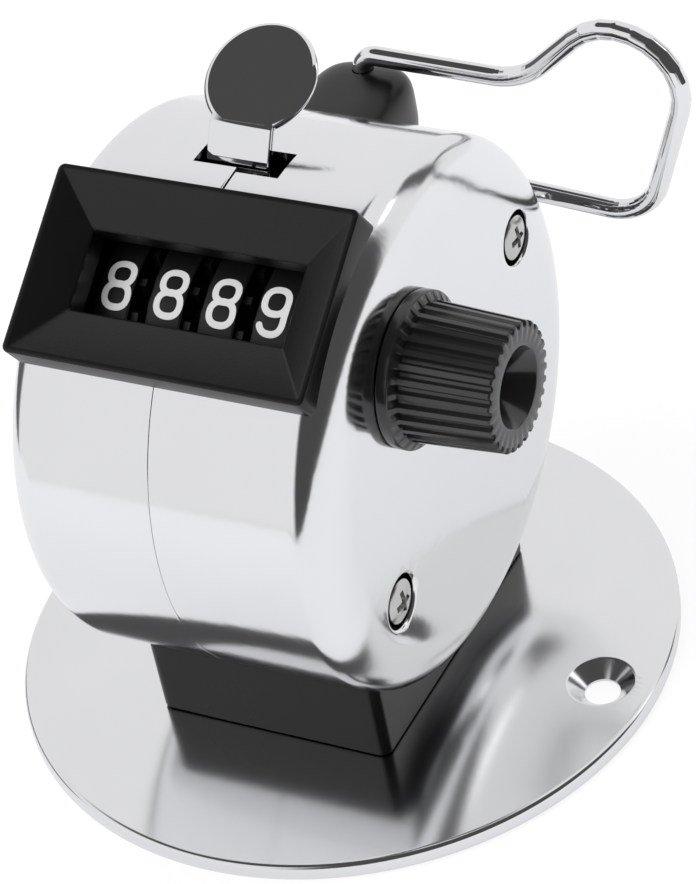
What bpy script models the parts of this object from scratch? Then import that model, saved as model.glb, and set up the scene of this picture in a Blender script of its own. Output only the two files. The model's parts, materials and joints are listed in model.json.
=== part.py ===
"""Desk tally counter: a chromed four-digit hand counter on a round screw-down base plate.

The counter's right side, with the reset knob, is +X. The display faces -Y and up. +Z is up, and the
origin is the centre of the base plate's underside. Lengths are in metres.
"""

import math

import bmesh
import bpy
from mathutils import Matrix, Vector

MM = 0.001

# Clearances
FIT = 0.3 * MM
RUNNING = 0.07 * MM
SEAM_GAP = 0.3 * MM
THREAD = 0.12 * MM

# Base plate
PLATE_RADIUS = 30 * MM
PLATE_THICKNESS = 1.5 * MM
PLATE_EDGE = 0.4 * MM
MOUNT_CIRCLE = 25 * MM
MOUNT_HOLE_RADIUS = 1.6 * MM
MOUNT_SINK_RADIUS = 2.9 * MM
MOUNT_COUNT = 2

# Foot block, a saddle between the plate and the casing
FOOT_HALF_WIDTH = 11.1 * MM
FOOT_HALF_DEPTH = 14.4 * MM
FOOT_RISE = 8.5 * MM
FOOT_CORNER = 1.0 * MM
SEAT_THICKNESS = 2.9 * MM
SADDLE_SCREW_SPREAD = 6.0 * MM
SADDLE_SCREW_RADIUS = 1.2 * MM
SADDLE_HEAD_RADIUS = 2.3 * MM
CLAMP_THICKNESS = 1.4 * MM
CLAMP_HALF_DEPTH = 3.4 * MM
CLAMP_MARGIN = 3.0 * MM

# Casing, two drawn cups that meet at a seam
CASING_RADIUS = 24.0 * MM
CASING_HALF_WIDTH = 15.0 * MM
CASING_FILLET = 3.0 * MM
CASING_WALL = 0.8 * MM
CASING_SETBACK = 0.5 * MM
SEAM_X = -1.0 * MM

# Display: the wheels' axis lies this deep inside the casing's curve, along the display's normal
DISPLAY_TILT = math.radians(33.5)
DISPLAY_SHIFT = 0.9 * MM
WHEEL_DEPTH = 12.9 * MM
BEZEL_HEIGHT = 14.6 * MM
BEZEL_HALF_WIDTH = 13.8 * MM
BEZEL_HALF_DEPTH = 8.3 * MM
BEZEL_RIM = 0.5 * MM
BEZEL_SKIRT = 7.0 * MM
WINDOW_HALF_WIDTH = 9.9 * MM
WINDOW_HALF_DEPTH = 3.5 * MM
WINDOW_DROP = 1.35 * MM
NECK_WALL = 1.5 * MM
NECK_ABOVE_WHEELS = 0.9 * MM

# Number wheels and their carry train
WHEEL_RADIUS = 10.0 * MM
WHEEL_PITCH = 4.94 * MM
WHEEL_ROW_X = -0.7 * MM
WHEEL_FACE = 3.2 * MM
WHEEL_RIM = 2.6 * MM
GEAR_LIP = 0.4 * MM
WHEEL_WEB = 1.4 * MM
HUB_WALL = 1.4 * MM
GEAR_TEETH = 20
PINION_TEETH = 8
GEAR_PITCH_RADIUS = 8.7 * MM
GEAR_FACE = 0.7 * MM
TOOTH_ABOVE = 0.75 * MM
TOOTH_BELOW = 1.05 * MM
PINION_FACE = 1.1 * MM
PINION_ANGLE = math.radians(-95)
SHAFT_RADIUS = 1.6 * MM
PINION_SHAFT_RADIUS = 0.9 * MM
RATCHET_TEETH = 10
RATCHET_RADIUS = 4.3 * MM
RATCHET_TOOTH = 0.9 * MM
RATCHET_FACE = 1.0 * MM

# Inner frame; its two posts on the casing screws lie this far inside the casing's curve
FRAME_PLATE = 1.0 * MM
FRAME_GAP = 1.5 * MM
FRAME_BOSS = 3.0 * MM
SPACER_WALL = 0.9 * MM
UPPER_POST_INSET = 6.86 * MM
UPPER_POST_ANGLE = math.radians(28.2)
LOWER_POST_INSET = 7.72 * MM
LOWER_POST_ANGLE = math.radians(212.7)

# Casing screws
SCREW_RADIUS = 1.25 * MM
SCREW_HEAD_RADIUS = 1.95 * MM
SCREW_HEAD_HEIGHT = 0.9 * MM
RECESS_RADIUS = 2.4 * MM
RECESS_DEPTH = 1.0 * MM
CROSS_WIDTH = 0.6 * MM
CROSS_DEPTH = 0.7 * MM

# Reset knob
KNOB_STANDOFF = 0.4 * MM
KNOB_FLANGE_RADIUS = 6.7 * MM
KNOB_FLANGE = 0.9 * MM
KNOB_BASE_RADIUS = 5.95 * MM
KNOB_END_RADIUS = 5.45 * MM
KNOB_LENGTH = 9.3 * MM
KNOB_FLUTES = 30
FLUTE_DEPTH = 0.35 * MM
KNOB_RECESS_RADIUS = 3.4 * MM
KNOB_RECESS_DEPTH = 3.0 * MM
KNOB_FLOOR = 1.2 * MM
KNOB_SCREW_RADIUS = 0.7 * MM
KNOB_SCREW_HEAD_RADIUS = 1.7 * MM
KNOB_SCREW_HEAD = 0.9 * MM
KNOB_SCREW_LENGTH = 4.0 * MM

# Thumb lever, its pin, feed pawl and springs; the pivot is given from the wheels' axis
LEVER_PIVOT = Vector((0, 13.876 * MM, 5.547 * MM))
LEVER_X = -2.1 * MM
LEVER_TRAVEL = math.radians(12)
LEVER_SHEET = 0.8 * MM
LEVER_NECK_HALF_WIDTH = 3.0 * MM
LEVER_NECK_Y = 2.8 * MM
LEVER_NECK_RISE = 0.7 * MM
LEVER_DISC_RADIUS = 5.2 * MM
LEVER_DISC_SLOPE = math.radians(30)
LEVER_HUB_WALL = 0.9 * MM
LEVER_PIN_RADIUS = 1.1 * MM
FEED_ARM_SHEET = 0.8 * MM
PAWL_PIN_RADIUS = 0.6 * MM
PAWL_WIDTH = 1.3 * MM
PAWL_DROP = Vector((0, -5.5 * MM, -1.6 * MM))
DETENT_SHEET = 0.4 * MM
SPRING_WIRE = 0.25 * MM
SPRING_TURNS = 4
SPRING_PITCH = 0.95 * MM

# Finger ring and the lug that carries it; the heights are given from the casing's axis
RING_WIRE = 0.8 * MM
RING_X = -3.0 * MM
RING_STANDOFF = 0.5 * MM
RING_UPPER_LEG = 18.5 * MM
RING_DIP_X = 12.5 * MM
RING_PEAK = Vector((32.3 * MM, 0, 34.4 * MM))
RING_PEAK_RADIUS = 4.2 * MM
RING_HEEL = Vector((23.0 * MM, 0, 5.1 * MM))
RING_LOWER_LEG = 7.1 * MM
RING_BEND = 1.5 * MM
RING_DIP_RADIUS = 5.0 * MM
RING_HEEL_RADIUS = 4.0 * MM
RING_END_GAP = 1.6 * MM
LUG_HALF_WIDTH = 4.8 * MM
LUG_OVERHANG = 2.6 * MM
LUG_ROUND = 2.0 * MM
LUG_CLEARANCE = 0.3 * MM
LUG_SCREW_RADIUS = 1.0 * MM
LUG_SCREW_HEAD_RADIUS = 1.8 * MM
LUG_SCREW_HEAD = 0.9 * MM
LUG_SCREW_DEPTH = 3.0 * MM

# Facets round a full turn
FINE = 56
ROUND = 28
SMALL = 14

# Places that follow from the sizes above
CASING_AXIS = Vector((0, CASING_SETBACK, PLATE_THICKNESS + SEAT_THICKNESS + FIT + CASING_RADIUS))
DISPLAY_TURN = Matrix.Rotation(DISPLAY_TILT, 4, "X")
WHEEL_AXIS = CASING_AXIS + DISPLAY_TURN @ Vector((0, DISPLAY_SHIFT, CASING_RADIUS - WHEEL_DEPTH))
PINION_REACH = GEAR_PITCH_RADIUS * (1 + PINION_TEETH / GEAR_TEETH)
PINION_AXIS = WHEEL_AXIS + PINION_REACH * Vector((0, math.cos(DISPLAY_TILT + PINION_ANGLE),
                                                  math.sin(DISPLAY_TILT + PINION_ANGLE)))
PIVOT = WHEEL_AXIS + LEVER_PIVOT
UPPER_POST = CASING_AXIS + (CASING_RADIUS - UPPER_POST_INSET) * Vector((0, math.cos(UPPER_POST_ANGLE),
                                                                        math.sin(UPPER_POST_ANGLE)))
LOWER_POST = CASING_AXIS + (CASING_RADIUS - LOWER_POST_INSET) * Vector((0, math.cos(LOWER_POST_ANGLE),
                                                                        math.sin(LOWER_POST_ANGLE)))
SPACER_RADIUS = SCREW_RADIUS + THREAD + SPACER_WALL
WHEEL_XS = [WHEEL_ROW_X + WHEEL_PITCH * (place - 1.5) for place in range(4)]
RATCHET_LOW = WHEEL_XS[3] + WHEEL_FACE / 2 + FIT
RATCHET_HIGH = RATCHET_LOW + RATCHET_FACE
FRAME_RIGHT = RATCHET_HIGH + FRAME_GAP
FRAME_LEFT = WHEEL_XS[0] - WHEEL_FACE / 2 - GEAR_FACE - FIT
CASING_INNER = CASING_RADIUS - CASING_WALL
PAWL_PIN = PIVOT + PAWL_DROP
NECK_POINT = Vector((0, CASING_AXIS.y + LEVER_NECK_Y, CASING_AXIS.z + CASING_RADIUS))
RING_Y = CASING_AXIS.y + CASING_RADIUS + RING_STANDOFF
KNOB_START = CASING_HALF_WIDTH + KNOB_STANDOFF
KNOB_END = KNOB_START + KNOB_LENGTH
SHAFT_END = KNOB_END - KNOB_RECESS_DEPTH - KNOB_FLOOR - FIT

# Matrices: turned pieces stand on local Z, flat outlines lie in local X and Y
ALONG_X = Matrix.Rotation(math.pi / 2, 4, "Y")
AGAINST_X = Matrix.Rotation(-math.pi / 2, 4, "Y")
SIDE_ON = Matrix(((0, 0, 1, 0), (1, 0, 0, 0), (0, 1, 0, 0), (0, 0, 0, 1)))


def clear_scene():
    for thing in list(bpy.data.objects):
        bpy.data.objects.remove(thing, do_unlink=True)


clear_scene()
PARTS = bpy.data.collections.new("tally_counter")
CUTTERS = bpy.data.collections.new("tally_counter_cutters")
bpy.context.scene.collection.children.link(PARTS)
bpy.context.scene.collection.children.link(CUTTERS)


def finish(name, color, roughness, metallic=0.0):
    """A plain Principled BSDF in the piece's colour."""
    material = bpy.data.materials.new(name)
    material.use_nodes = True
    shader = material.node_tree.nodes["Principled BSDF"]
    shader.inputs["Base Color"].default_value = (*color, 1)
    shader.inputs["Roughness"].default_value = roughness
    shader.inputs["Metallic"].default_value = metallic
    return material


CHROME = finish("chrome", (0.80, 0.81, 0.82), 0.08, 1.0)
STEEL = finish("bright_steel", (0.58, 0.58, 0.57), 0.28, 1.0)
BRASS = finish("brass", (0.72, 0.54, 0.25), 0.30, 1.0)
BLACK = finish("black_plastic", (0.012, 0.012, 0.013), 0.30)
WHEEL_BLACK = finish("wheel_plastic", (0.010, 0.010, 0.011), 0.45)
NYLON = finish("white_nylon", (0.80, 0.79, 0.74), 0.45)


def place(item, collection, matrix, material=None):
    collection.objects.link(item)
    item.matrix_world = matrix
    if material:
        item.data.materials.append(material)
    if collection is CUTTERS:
        item.hide_render = True
        item.display_type = "WIRE"
    return item


def from_bmesh(name, shape, matrix, material=None, cutter=False):
    """An object made from a bmesh, in the parts or, for a cutter, in the cutters."""
    mesh = bpy.data.meshes.new(name)
    shape.to_mesh(mesh)
    shape.free()
    smooth(mesh)
    return place(bpy.data.objects.new(name, mesh), CUTTERS if cutter else PARTS, matrix, material)


def smooth(mesh):
    mesh.shade_smooth()
    mesh.set_sharp_from_angle(angle=math.radians(35))


def box(name, low, high, matrix=None, material=None, cutter=False):
    """A box between two corners."""
    shape = bmesh.new()
    bmesh.ops.create_cube(shape, size=1)
    low, high = Vector(low), Vector(high)
    size = Matrix.Diagonal((*(high - low), 1))
    bmesh.ops.transform(shape, matrix=Matrix.Translation((low + high) / 2) @ size, verts=shape.verts)
    return from_bmesh(name, shape, matrix or Matrix(), material, cutter)


def rod(name, radius, low, high, matrix, material=None, cutter=False, segments=SMALL, end_radius=None):
    """A round bar or cone on local Z from low to high."""
    shape = bmesh.new()
    middle = Matrix.Translation((0, 0, (low + high) / 2))
    bmesh.ops.create_cone(shape, cap_ends=True, segments=segments, radius1=radius, depth=high - low,
                          radius2=radius if end_radius is None else end_radius, matrix=middle)
    return from_bmesh(name, shape, matrix, material, cutter)


def turned(name, profile, matrix, material=None, cutter=False, steps=ROUND, ring=False):
    """A profile of (radius, height) points, turned about local Z. A ring's profile is closed."""
    mesh = bpy.data.meshes.new(name)
    count = len(profile)
    edges = [(index, (index + 1) % count) for index in range(count if ring else count - 1)]
    mesh.from_pydata([(radius, 0, height) for radius, height in profile], edges, [])
    item = place(bpy.data.objects.new(name, mesh), CUTTERS if cutter else PARTS, matrix, material)
    turn = item.modifiers.new("turn", "SCREW")
    turn.steps = steps
    turn.render_steps = steps
    turn.use_merge_vertices = True
    turn.merge_threshold = 0.00001
    turn.use_smooth_shade = True
    return item


def curve_mesh(name, curve, matrix, material=None, cutter=False):
    """A curve made a closed mesh, so that it can be cut and joined."""
    guide = bpy.data.objects.new(name + "_guide", curve)
    CUTTERS.objects.link(guide)
    bpy.context.view_layer.update()
    graph = bpy.context.evaluated_depsgraph_get()
    mesh = bpy.data.meshes.new_from_object(guide.evaluated_get(graph))
    bpy.data.objects.remove(guide)
    shape = bmesh.new()
    shape.from_mesh(mesh)
    bmesh.ops.remove_doubles(shape, verts=shape.verts, dist=0.000001)
    shape.to_mesh(mesh)
    shape.free()
    mesh.materials.clear()
    mesh.name = name
    smooth(mesh)
    return place(bpy.data.objects.new(name, mesh), CUTTERS if cutter else PARTS, matrix, material)


def flat(name, outlines, low, high, matrix, material=None, cutter=False):
    """A sheet with the first outline as its edge and the others as holes, from low to high on local Z."""
    curve = bpy.data.curves.new(name, "CURVE")
    curve.dimensions = "2D"
    curve.fill_mode = "BOTH"
    curve.extrude = (high - low) / 2
    for outline in outlines:
        spline = curve.splines.new("POLY")
        spline.points.add(len(outline) - 1)
        spline.use_cyclic_u = True
        for point, (across, up) in zip(spline.points, outline):
            point.co = (across, up, 0, 1)
    lift = Matrix.Translation((0, 0, (low + high) / 2))
    return curve_mesh(name, curve, matrix @ lift, material, cutter)


def wire(name, points, radius, material, rounds=2):
    """A round wire through points in world space."""
    curve = bpy.data.curves.new(name, "CURVE")
    curve.dimensions = "3D"
    curve.bevel_depth = radius
    curve.bevel_resolution = rounds
    curve.use_fill_caps = True
    spline = curve.splines.new("POLY")
    spline.points.add(len(points) - 1)
    for point, at in zip(spline.points, points):
        point.co = (*at, 1)
    return curve_mesh(name, curve, Matrix(), material)


def boolean(item, other, operation):
    step = item.modifiers.new(other.name, "BOOLEAN")
    step.operation = operation
    step.solver = "EXACT"
    step.object = other


def cut(item, *cutters):
    for cutter in cutters:
        boolean(item, cutter, "DIFFERENCE")


def join(item, *others):
    for other in others:
        boolean(item, other, "UNION")


def arc(centre, radius, start, end, count):
    """Points round a centre from one angle to another, in degrees."""
    angles = [math.radians(start + (end - start) * step / count) for step in range(count + 1)]
    return [(centre[0] + radius * math.cos(a), centre[1] + radius * math.sin(a)) for a in angles]


def circle(radius, count=SMALL, centre=(0, 0)):
    return arc(centre, radius, 0, 360 - 360 / count, count - 1)


def hull(points):
    """The convex outline round a set of points, anticlockwise."""
    points = sorted(set(points))

    def half(ordered):
        kept = []
        for point in ordered:
            while len(kept) > 1 and turn_of(kept[-2], kept[-1], point) <= 0:
                kept.pop()
            kept.append(point)
        return kept[:-1]

    return half(points) + half(points[::-1])


def turn_of(a, b, c):
    return (b[0] - a[0]) * (c[1] - a[1]) - (b[1] - a[1]) * (c[0] - a[0])


def side(point):
    """A world point's (y, z), the plane that the frame's outlines lie in."""
    return (point.y, point.z)


def teeth(count, pitch_radius, above, below, share=0.36, first=0, last=None):
    """A gear outline with straight-sided teeth; outside first to last it stays at the root circle."""
    step = 2 * math.pi / count
    outline = []
    for index in range(count):
        middle = index * step
        if last is not None and not first <= index <= last:
            outline += spread(pitch_radius - below, middle, (0,))
            continue
        outline += spread(pitch_radius - below, middle, (-0.33 * step,))
        outline += spread(pitch_radius + above, middle, (-0.30 * share * step, 0.30 * share * step))
        outline += spread(pitch_radius - below, middle, (0.33 * step,))
    return outline


def spread(radius, middle, offsets):
    return [(radius * math.cos(middle + off), radius * math.sin(middle + off)) for off in offsets]


def turned_outline(outline, angle):
    """An outline turned about its own origin."""
    cosine, sine = math.cos(angle), math.sin(angle)
    return [(cosine * a - sine * b, sine * a + cosine * b) for a, b in outline]


def rounded_path(corners, radii, steps=8):
    """A path through corners, with each inner corner replaced by an arc of its radius."""
    path = [corners[0]]
    for before, corner, after, radius in zip(corners, corners[1:], corners[2:], radii):
        into = (corner - before).normalized()
        out = (after - corner).normalized()
        bend = into.angle(out)
        reach = radius * math.tan(bend / 2)
        centre = corner + (out - into).normalized() * radius / math.cos(bend / 2)
        start = corner - into * reach - centre
        axis = into.cross(out).normalized()
        for step in range(steps + 1):
            path.append(centre + Matrix.Rotation(bend * step / steps, 3, axis) @ start)
    path.append(corners[-1])
    return path


def strip_outline(path, thickness):
    """The outline of a bent sheet of even thickness along a path of (y, z) points."""
    left, right = [], []
    points = [Vector(point) for point in path]
    for index, point in enumerate(points):
        before = points[max(index - 1, 0)]
        after = points[min(index + 1, len(points) - 1)]
        into = (point - before).normalized() if index else (after - point).normalized()
        out = (after - point).normalized() if after is not point else into
        normal = Vector((-(into + out).y, (into + out).x)).normalized()
        offset = normal * thickness / 2 / max(normal.dot(Vector((-into.y, into.x))), 0.3)
        left.append(tuple(point + offset))
        right.append(tuple(point - offset))
    return left + right[::-1]


def axle(name, at):
    """An empty on a joint's axis, for the pieces that turn on it."""
    empty = bpy.data.objects.new(name, None)
    empty.empty_display_size = WHEEL_RADIUS / 2
    PARTS.objects.link(empty)
    empty.location = at
    return empty


def hang(empty, *items):
    """Parents pieces to an empty and leaves them where they are."""
    bpy.context.view_layer.update()
    for item in items:
        item.parent = empty
        item.matrix_parent_inverse = empty.matrix_world.inverted()


def at(point):
    return Matrix.Translation(point)


def across(point):
    """A place on an axis along X, at x = 0."""
    return Matrix.Translation((0, point.y, point.z))


def pan_screw(name, seat, tip, matrix, radius, head_radius, head_height, material):
    """A cross-recess screw on local Z: its head stands on seat and its plain shank ends at tip."""
    top = seat + head_height
    crown = head_height * 0.35
    profile = [(0, top), (head_radius * 0.6, top - crown * 0.2), (head_radius, top - crown),
               (head_radius, seat), (radius, seat), (radius, tip), (0, tip)]
    screw = turned(name, profile, matrix, material, steps=SMALL)
    half = CROSS_WIDTH / 2
    reach = head_radius * 0.62
    for index, (wide, deep) in enumerate(((reach, half), (half, reach))):
        slot = box(f"{name}_cross_{index}", (-wide, -deep, top - CROSS_DEPTH), (wide, deep, top + FIT),
                   matrix, cutter=True)
        cut(screw, slot)
    return screw


def casing_form(name, grow):
    """The casing's outer form as one solid, grown all round."""
    radius = CASING_RADIUS + grow
    half = CASING_HALF_WIDTH + grow
    fillet = CASING_FILLET + grow
    right = arc((radius - fillet, half - fillet), fillet, 90, 0, 4)
    left = [(r, -h) for r, h in right[::-1]]
    profile = [(0, half)] + right + left + [(0, -half)]
    return turned(name, profile, at(CASING_AXIS) @ ALONG_X, cutter=True, steps=FINE)


def base_plate():
    profile = [(0, PLATE_THICKNESS), (PLATE_RADIUS - PLATE_EDGE, PLATE_THICKNESS),
               (PLATE_RADIUS, PLATE_THICKNESS - PLATE_EDGE), (PLATE_RADIUS, 0), (0, 0)]
    plate = turned("base_plate", profile, Matrix(), CHROME, steps=FINE)
    sink = MOUNT_SINK_RADIUS - MOUNT_HOLE_RADIUS
    hole = [(0, PLATE_THICKNESS + FIT), (MOUNT_SINK_RADIUS + FIT, PLATE_THICKNESS + FIT),
            (MOUNT_HOLE_RADIUS, PLATE_THICKNESS - sink), (MOUNT_HOLE_RADIUS, -FIT), (0, -FIT)]
    for index in range(MOUNT_COUNT):
        turn = Matrix.Rotation(2 * math.pi * index / MOUNT_COUNT, 4, "Z")
        spot = turn @ at((MOUNT_CIRCLE, 0, 0))
        cut(plate, turned(f"mount_hole_{index}", hole, spot, cutter=True, steps=ROUND))
    return plate


def saddle_screw_places():
    return [Vector((way * SADDLE_SCREW_SPREAD, CASING_AXIS.y, 0)) for way in (-1, 1)]


def foot_block():
    top = PLATE_THICKNESS + FIT + FOOT_RISE
    foot = box("foot_block", (-FOOT_HALF_WIDTH, -FOOT_HALF_DEPTH, PLATE_THICKNESS + FIT),
               (FOOT_HALF_WIDTH, FOOT_HALF_DEPTH, top), material=BLACK)
    soften = foot.modifiers.new("corners", "BEVEL")
    soften.width = FOOT_CORNER
    soften.segments = 2
    cut(foot, casing_form("saddle_form", FIT))
    return foot


def clamp_bottom():
    """The clamp plate's underside, clear of the casing's inner wall along its long edges."""
    drop = math.sqrt(CASING_INNER ** 2 - CLAMP_HALF_DEPTH ** 2)
    return CASING_AXIS.z - drop + FIT


def saddle_fixing(plate, foot, left, right):
    """Two countersunk screws from below that clamp plate, foot and casing to an inner clamp plate."""
    bottom = clamp_bottom()
    half = SADDLE_SCREW_SPREAD + CLAMP_MARGIN
    clamp = box("clamp_plate", (-half, CASING_AXIS.y - CLAMP_HALF_DEPTH, bottom),
                (half, CASING_AXIS.y + CLAMP_HALF_DEPTH, bottom + CLAMP_THICKNESS), material=STEEL)
    sink = SADDLE_HEAD_RADIUS - SADDLE_SCREW_RADIUS
    tip = bottom + CLAMP_THICKNESS
    bore = SADDLE_SCREW_RADIUS + THREAD
    head = SADDLE_HEAD_RADIUS + THREAD
    hole = [(0, tip + FIT), (bore, tip + FIT), (bore, sink), (head, 0), (head, -FIT), (0, -FIT)]
    for name, spot, half_shell in zip(("left", "right"), saddle_screw_places(), (left, right)):
        passage = turned(f"saddle_hole_{name}", hole, at(spot), cutter=True, steps=SMALL)
        for piece in (plate, foot, half_shell, clamp):
            cut(piece, passage)
        body = [(0, tip), (SADDLE_SCREW_RADIUS, tip), (SADDLE_SCREW_RADIUS, sink), (SADDLE_HEAD_RADIUS, 0),
                (0, 0)]
        screw = turned(f"saddle_screw_{name}", body, at(spot), STEEL, steps=SMALL)
        reach = SADDLE_HEAD_RADIUS * 0.6
        deep = CROSS_WIDTH / 2
        cut(screw, box(f"saddle_slot_{name}", (-reach, -deep, -FIT), (reach, deep, CROSS_DEPTH), at(spot),
                       cutter=True))


def casing_cup(name, seam, matrix):
    """One drawn cup, turned about the casing's axis: its open end at seam, its face at the half width."""
    half, fillet = CASING_HALF_WIDTH, CASING_FILLET
    outer = arc((CASING_RADIUS - fillet, half - fillet), fillet, 90, 0, 4)
    inner = arc((CASING_RADIUS - fillet, half - fillet), fillet - CASING_WALL, 0, 90, 4)
    profile = [(0, half)] + outer + [(CASING_RADIUS, seam), (CASING_INNER, seam)] + inner
    profile += [(0, half - CASING_WALL)]
    return turned(name, profile, at(CASING_AXIS) @ matrix, CHROME, steps=FINE)


def casing():
    left = casing_cup("casing_left", SEAM_GAP / 2 - SEAM_X, AGAINST_X)
    right = casing_cup("casing_right", SEAM_X + SEAM_GAP / 2, ALONG_X)
    inside = CASING_HALF_WIDTH - CASING_WALL / 2
    frame_right = FRAME_RIGHT + FRAME_PLATE + FIT
    frame_left = FRAME_PLATE + FIT - FRAME_LEFT
    bore = SCREW_RADIUS + THREAD
    floor = CASING_HALF_WIDTH - RECESS_DEPTH
    for name, post in (("upper", UPPER_POST), ("lower", LOWER_POST)):
        spot = across(post)
        pad = rod(f"right_boss_{name}", RECESS_RADIUS + CASING_WALL, frame_right, inside, spot @ ALONG_X,
                  cutter=True, segments=SMALL)
        recess = rod(f"recess_{name}", RECESS_RADIUS, floor, CASING_HALF_WIDTH + FIT, spot @ ALONG_X,
                     cutter=True, segments=ROUND)
        passage = rod(f"right_bore_{name}", bore, frame_right - FIT, floor + FIT, spot @ ALONG_X, cutter=True)
        join(right, pad)
        cut(right, recess, passage)
        boss = rod(f"left_boss_{name}", SPACER_RADIUS, frame_left, inside, spot @ AGAINST_X, cutter=True)
        thread = rod(f"left_bore_{name}", bore, frame_left - FIT, inside, spot @ AGAINST_X, cutter=True)
        join(left, boss)
        cut(left, thread)
    cut(right, rod("knob_bore", SHAFT_RADIUS + FIT, inside - CASING_WALL, CASING_HALF_WIDTH + FIT,
                   across(WHEEL_AXIS) @ ALONG_X, cutter=True))
    opening = bezel_box("bezel_opening", NECK_WALL + FIT, 0, BEZEL_HEIGHT)
    slot = lever_slot()
    cut(left, opening, slot)
    cut(right, opening, slot)
    return left, right


def casing_screws():
    floor = CASING_HALF_WIDTH - RECESS_DEPTH
    tip = CASING_WALL + FIT - CASING_HALF_WIDTH
    for name, post in (("upper", UPPER_POST), ("lower", LOWER_POST)):
        pan_screw(f"casing_screw_{name}", floor + FIT, tip, across(post) @ ALONG_X, SCREW_RADIUS,
                  SCREW_HEAD_RADIUS, SCREW_HEAD_HEIGHT, STEEL)


def bezel_box(name, margin, low, high):
    """A box round the window, in the display's own frame."""
    wide = WINDOW_HALF_WIDTH + margin
    deep = WINDOW_HALF_DEPTH + margin
    return box(name, (-wide, -deep, low), (wide, deep, high), at(WHEEL_AXIS) @ DISPLAY_TURN, cutter=True)


def display_bezel():
    frame = at(WHEEL_AXIS) @ DISPLAY_TURN
    bezel = box("display_bezel", (-BEZEL_HALF_WIDTH, -BEZEL_HALF_DEPTH, BEZEL_HEIGHT - BEZEL_SKIRT),
                (BEZEL_HALF_WIDTH, BEZEL_HALF_DEPTH, BEZEL_HEIGHT), frame, BLACK)
    cut(bezel, casing_form("bezel_seat_form", FIT))
    bottom = WHEEL_RADIUS + NECK_ABOVE_WHEELS
    ledge = BEZEL_HEIGHT - WINDOW_DROP
    join(bezel, bezel_box("bezel_neck", NECK_WALL, bottom, ledge + FIT))
    cut(bezel, funnel(ledge), bezel_box("window_hole", 0, bottom - FIT, ledge + FIT))
    return bezel


def funnel(ledge):
    """The sloping well from the bezel's rim to the window, as a cutter that runs past the rim."""
    shape = bmesh.new()
    bmesh.ops.create_cube(shape, size=2)
    rim_wide = BEZEL_HALF_WIDTH - BEZEL_RIM
    rim_deep = BEZEL_HALF_DEPTH - BEZEL_RIM
    past = 1 + FIT / WINDOW_DROP
    top_wide = WINDOW_HALF_WIDTH + (rim_wide - WINDOW_HALF_WIDTH) * past
    top_deep = WINDOW_HALF_DEPTH + (rim_deep - WINDOW_HALF_DEPTH) * past
    for vert in shape.verts:
        high = vert.co.z > 0
        vert.co.x *= top_wide if high else WINDOW_HALF_WIDTH
        vert.co.y *= top_deep if high else WINDOW_HALF_DEPTH
        vert.co.z = ledge + (WINDOW_DROP * past if high else 0)
    return from_bmesh("bezel_funnel", shape, at(WHEEL_AXIS) @ DISPLAY_TURN, cutter=True)


def inner_frame():
    """Two side plates with the mechanism between them, held apart by spacers on the casing screws."""
    pivots = ((WHEEL_AXIS, SHAFT_RADIUS), (PINION_AXIS, PINION_SHAFT_RADIUS), (PIVOT, LEVER_PIN_RADIUS),
              (UPPER_POST, SCREW_RADIUS + THREAD - RUNNING), (LOWER_POST, SCREW_RADIUS + THREAD - RUNNING))
    rim = [point for spot, _ in pivots for point in circle(FRAME_BOSS, SMALL, side(spot))]
    holes = [circle(radius + RUNNING, SMALL, side(spot)) for spot, radius in pivots]
    outlines = [hull(rim)] + holes
    flat("frame_plate_left", outlines, FRAME_LEFT - FRAME_PLATE, FRAME_LEFT, SIDE_ON, STEEL)
    flat("frame_plate_right", outlines, FRAME_RIGHT, FRAME_RIGHT + FRAME_PLATE, SIDE_ON, STEEL)
    bore = SCREW_RADIUS + THREAD
    for name, post in (("upper", UPPER_POST), ("lower", LOWER_POST)):
        flat(f"frame_spacer_{name}", [circle(SPACER_RADIUS), circle(bore)], FRAME_LEFT + RUNNING,
             FRAME_RIGHT - RUNNING, across(post) @ SIDE_ON, BRASS)


def number_wheel(name, x, gear, carry):
    """A number wheel: rim, web and hub, with a gear on its right and a two-tooth carry disc on its left."""
    half = WHEEL_FACE / 2
    web = WHEEL_WEB / 2
    bore = SHAFT_RADIUS + RUNNING
    hub = bore + HUB_WALL
    inner = WHEEL_RADIUS - WHEEL_RIM
    profile = [(bore, half), (hub, half), (hub, web), (inner, web), (inner, half), (WHEEL_RADIUS, half),
               (WHEEL_RADIUS, -half), (inner, -half), (inner, -web), (hub, -web), (hub, -half), (bore, -half)]
    spot = at((x, WHEEL_AXIS.y, WHEEL_AXIS.z))
    wheel = turned(name, profile, spot @ ALONG_X, WHEEL_BLACK, steps=ROUND, ring=True)
    toward_pinion = DISPLAY_TILT + PINION_ANGLE
    ring = circle(inner - GEAR_LIP)
    if gear:
        outline = teeth(GEAR_TEETH, GEAR_PITCH_RADIUS, TOOTH_ABOVE, TOOTH_BELOW)
        join(wheel, flat(f"{name}_gear", [turned_outline(outline, toward_pinion), ring], half - FIT,
                         half + GEAR_FACE, spot @ SIDE_ON, cutter=True))
    if carry is not None:
        outline = teeth(GEAR_TEETH, GEAR_PITCH_RADIUS, TOOTH_ABOVE, TOOTH_BELOW + FIT, first=0, last=1)
        phase = toward_pinion + math.radians(18 + carry)
        join(wheel, flat(f"{name}_carry", [turned_outline(outline, phase), ring], -half - GEAR_FACE,
                         FIT - half, spot @ SIDE_ON, cutter=True))
    return wheel


def number_wheels():
    """From the left: thousands to units, with the carry teeth of the shown digits 8, 8, 8 and 9."""
    wheels = []
    for name, x, gear, carry in zip(("thousands", "hundreds", "tens", "units"), WHEEL_XS,
                                    (True, True, True, False), (None, 36, 36, 0)):
        wheels.append(number_wheel(f"{name}_wheel", x, gear, carry))
    return wheels


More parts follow.
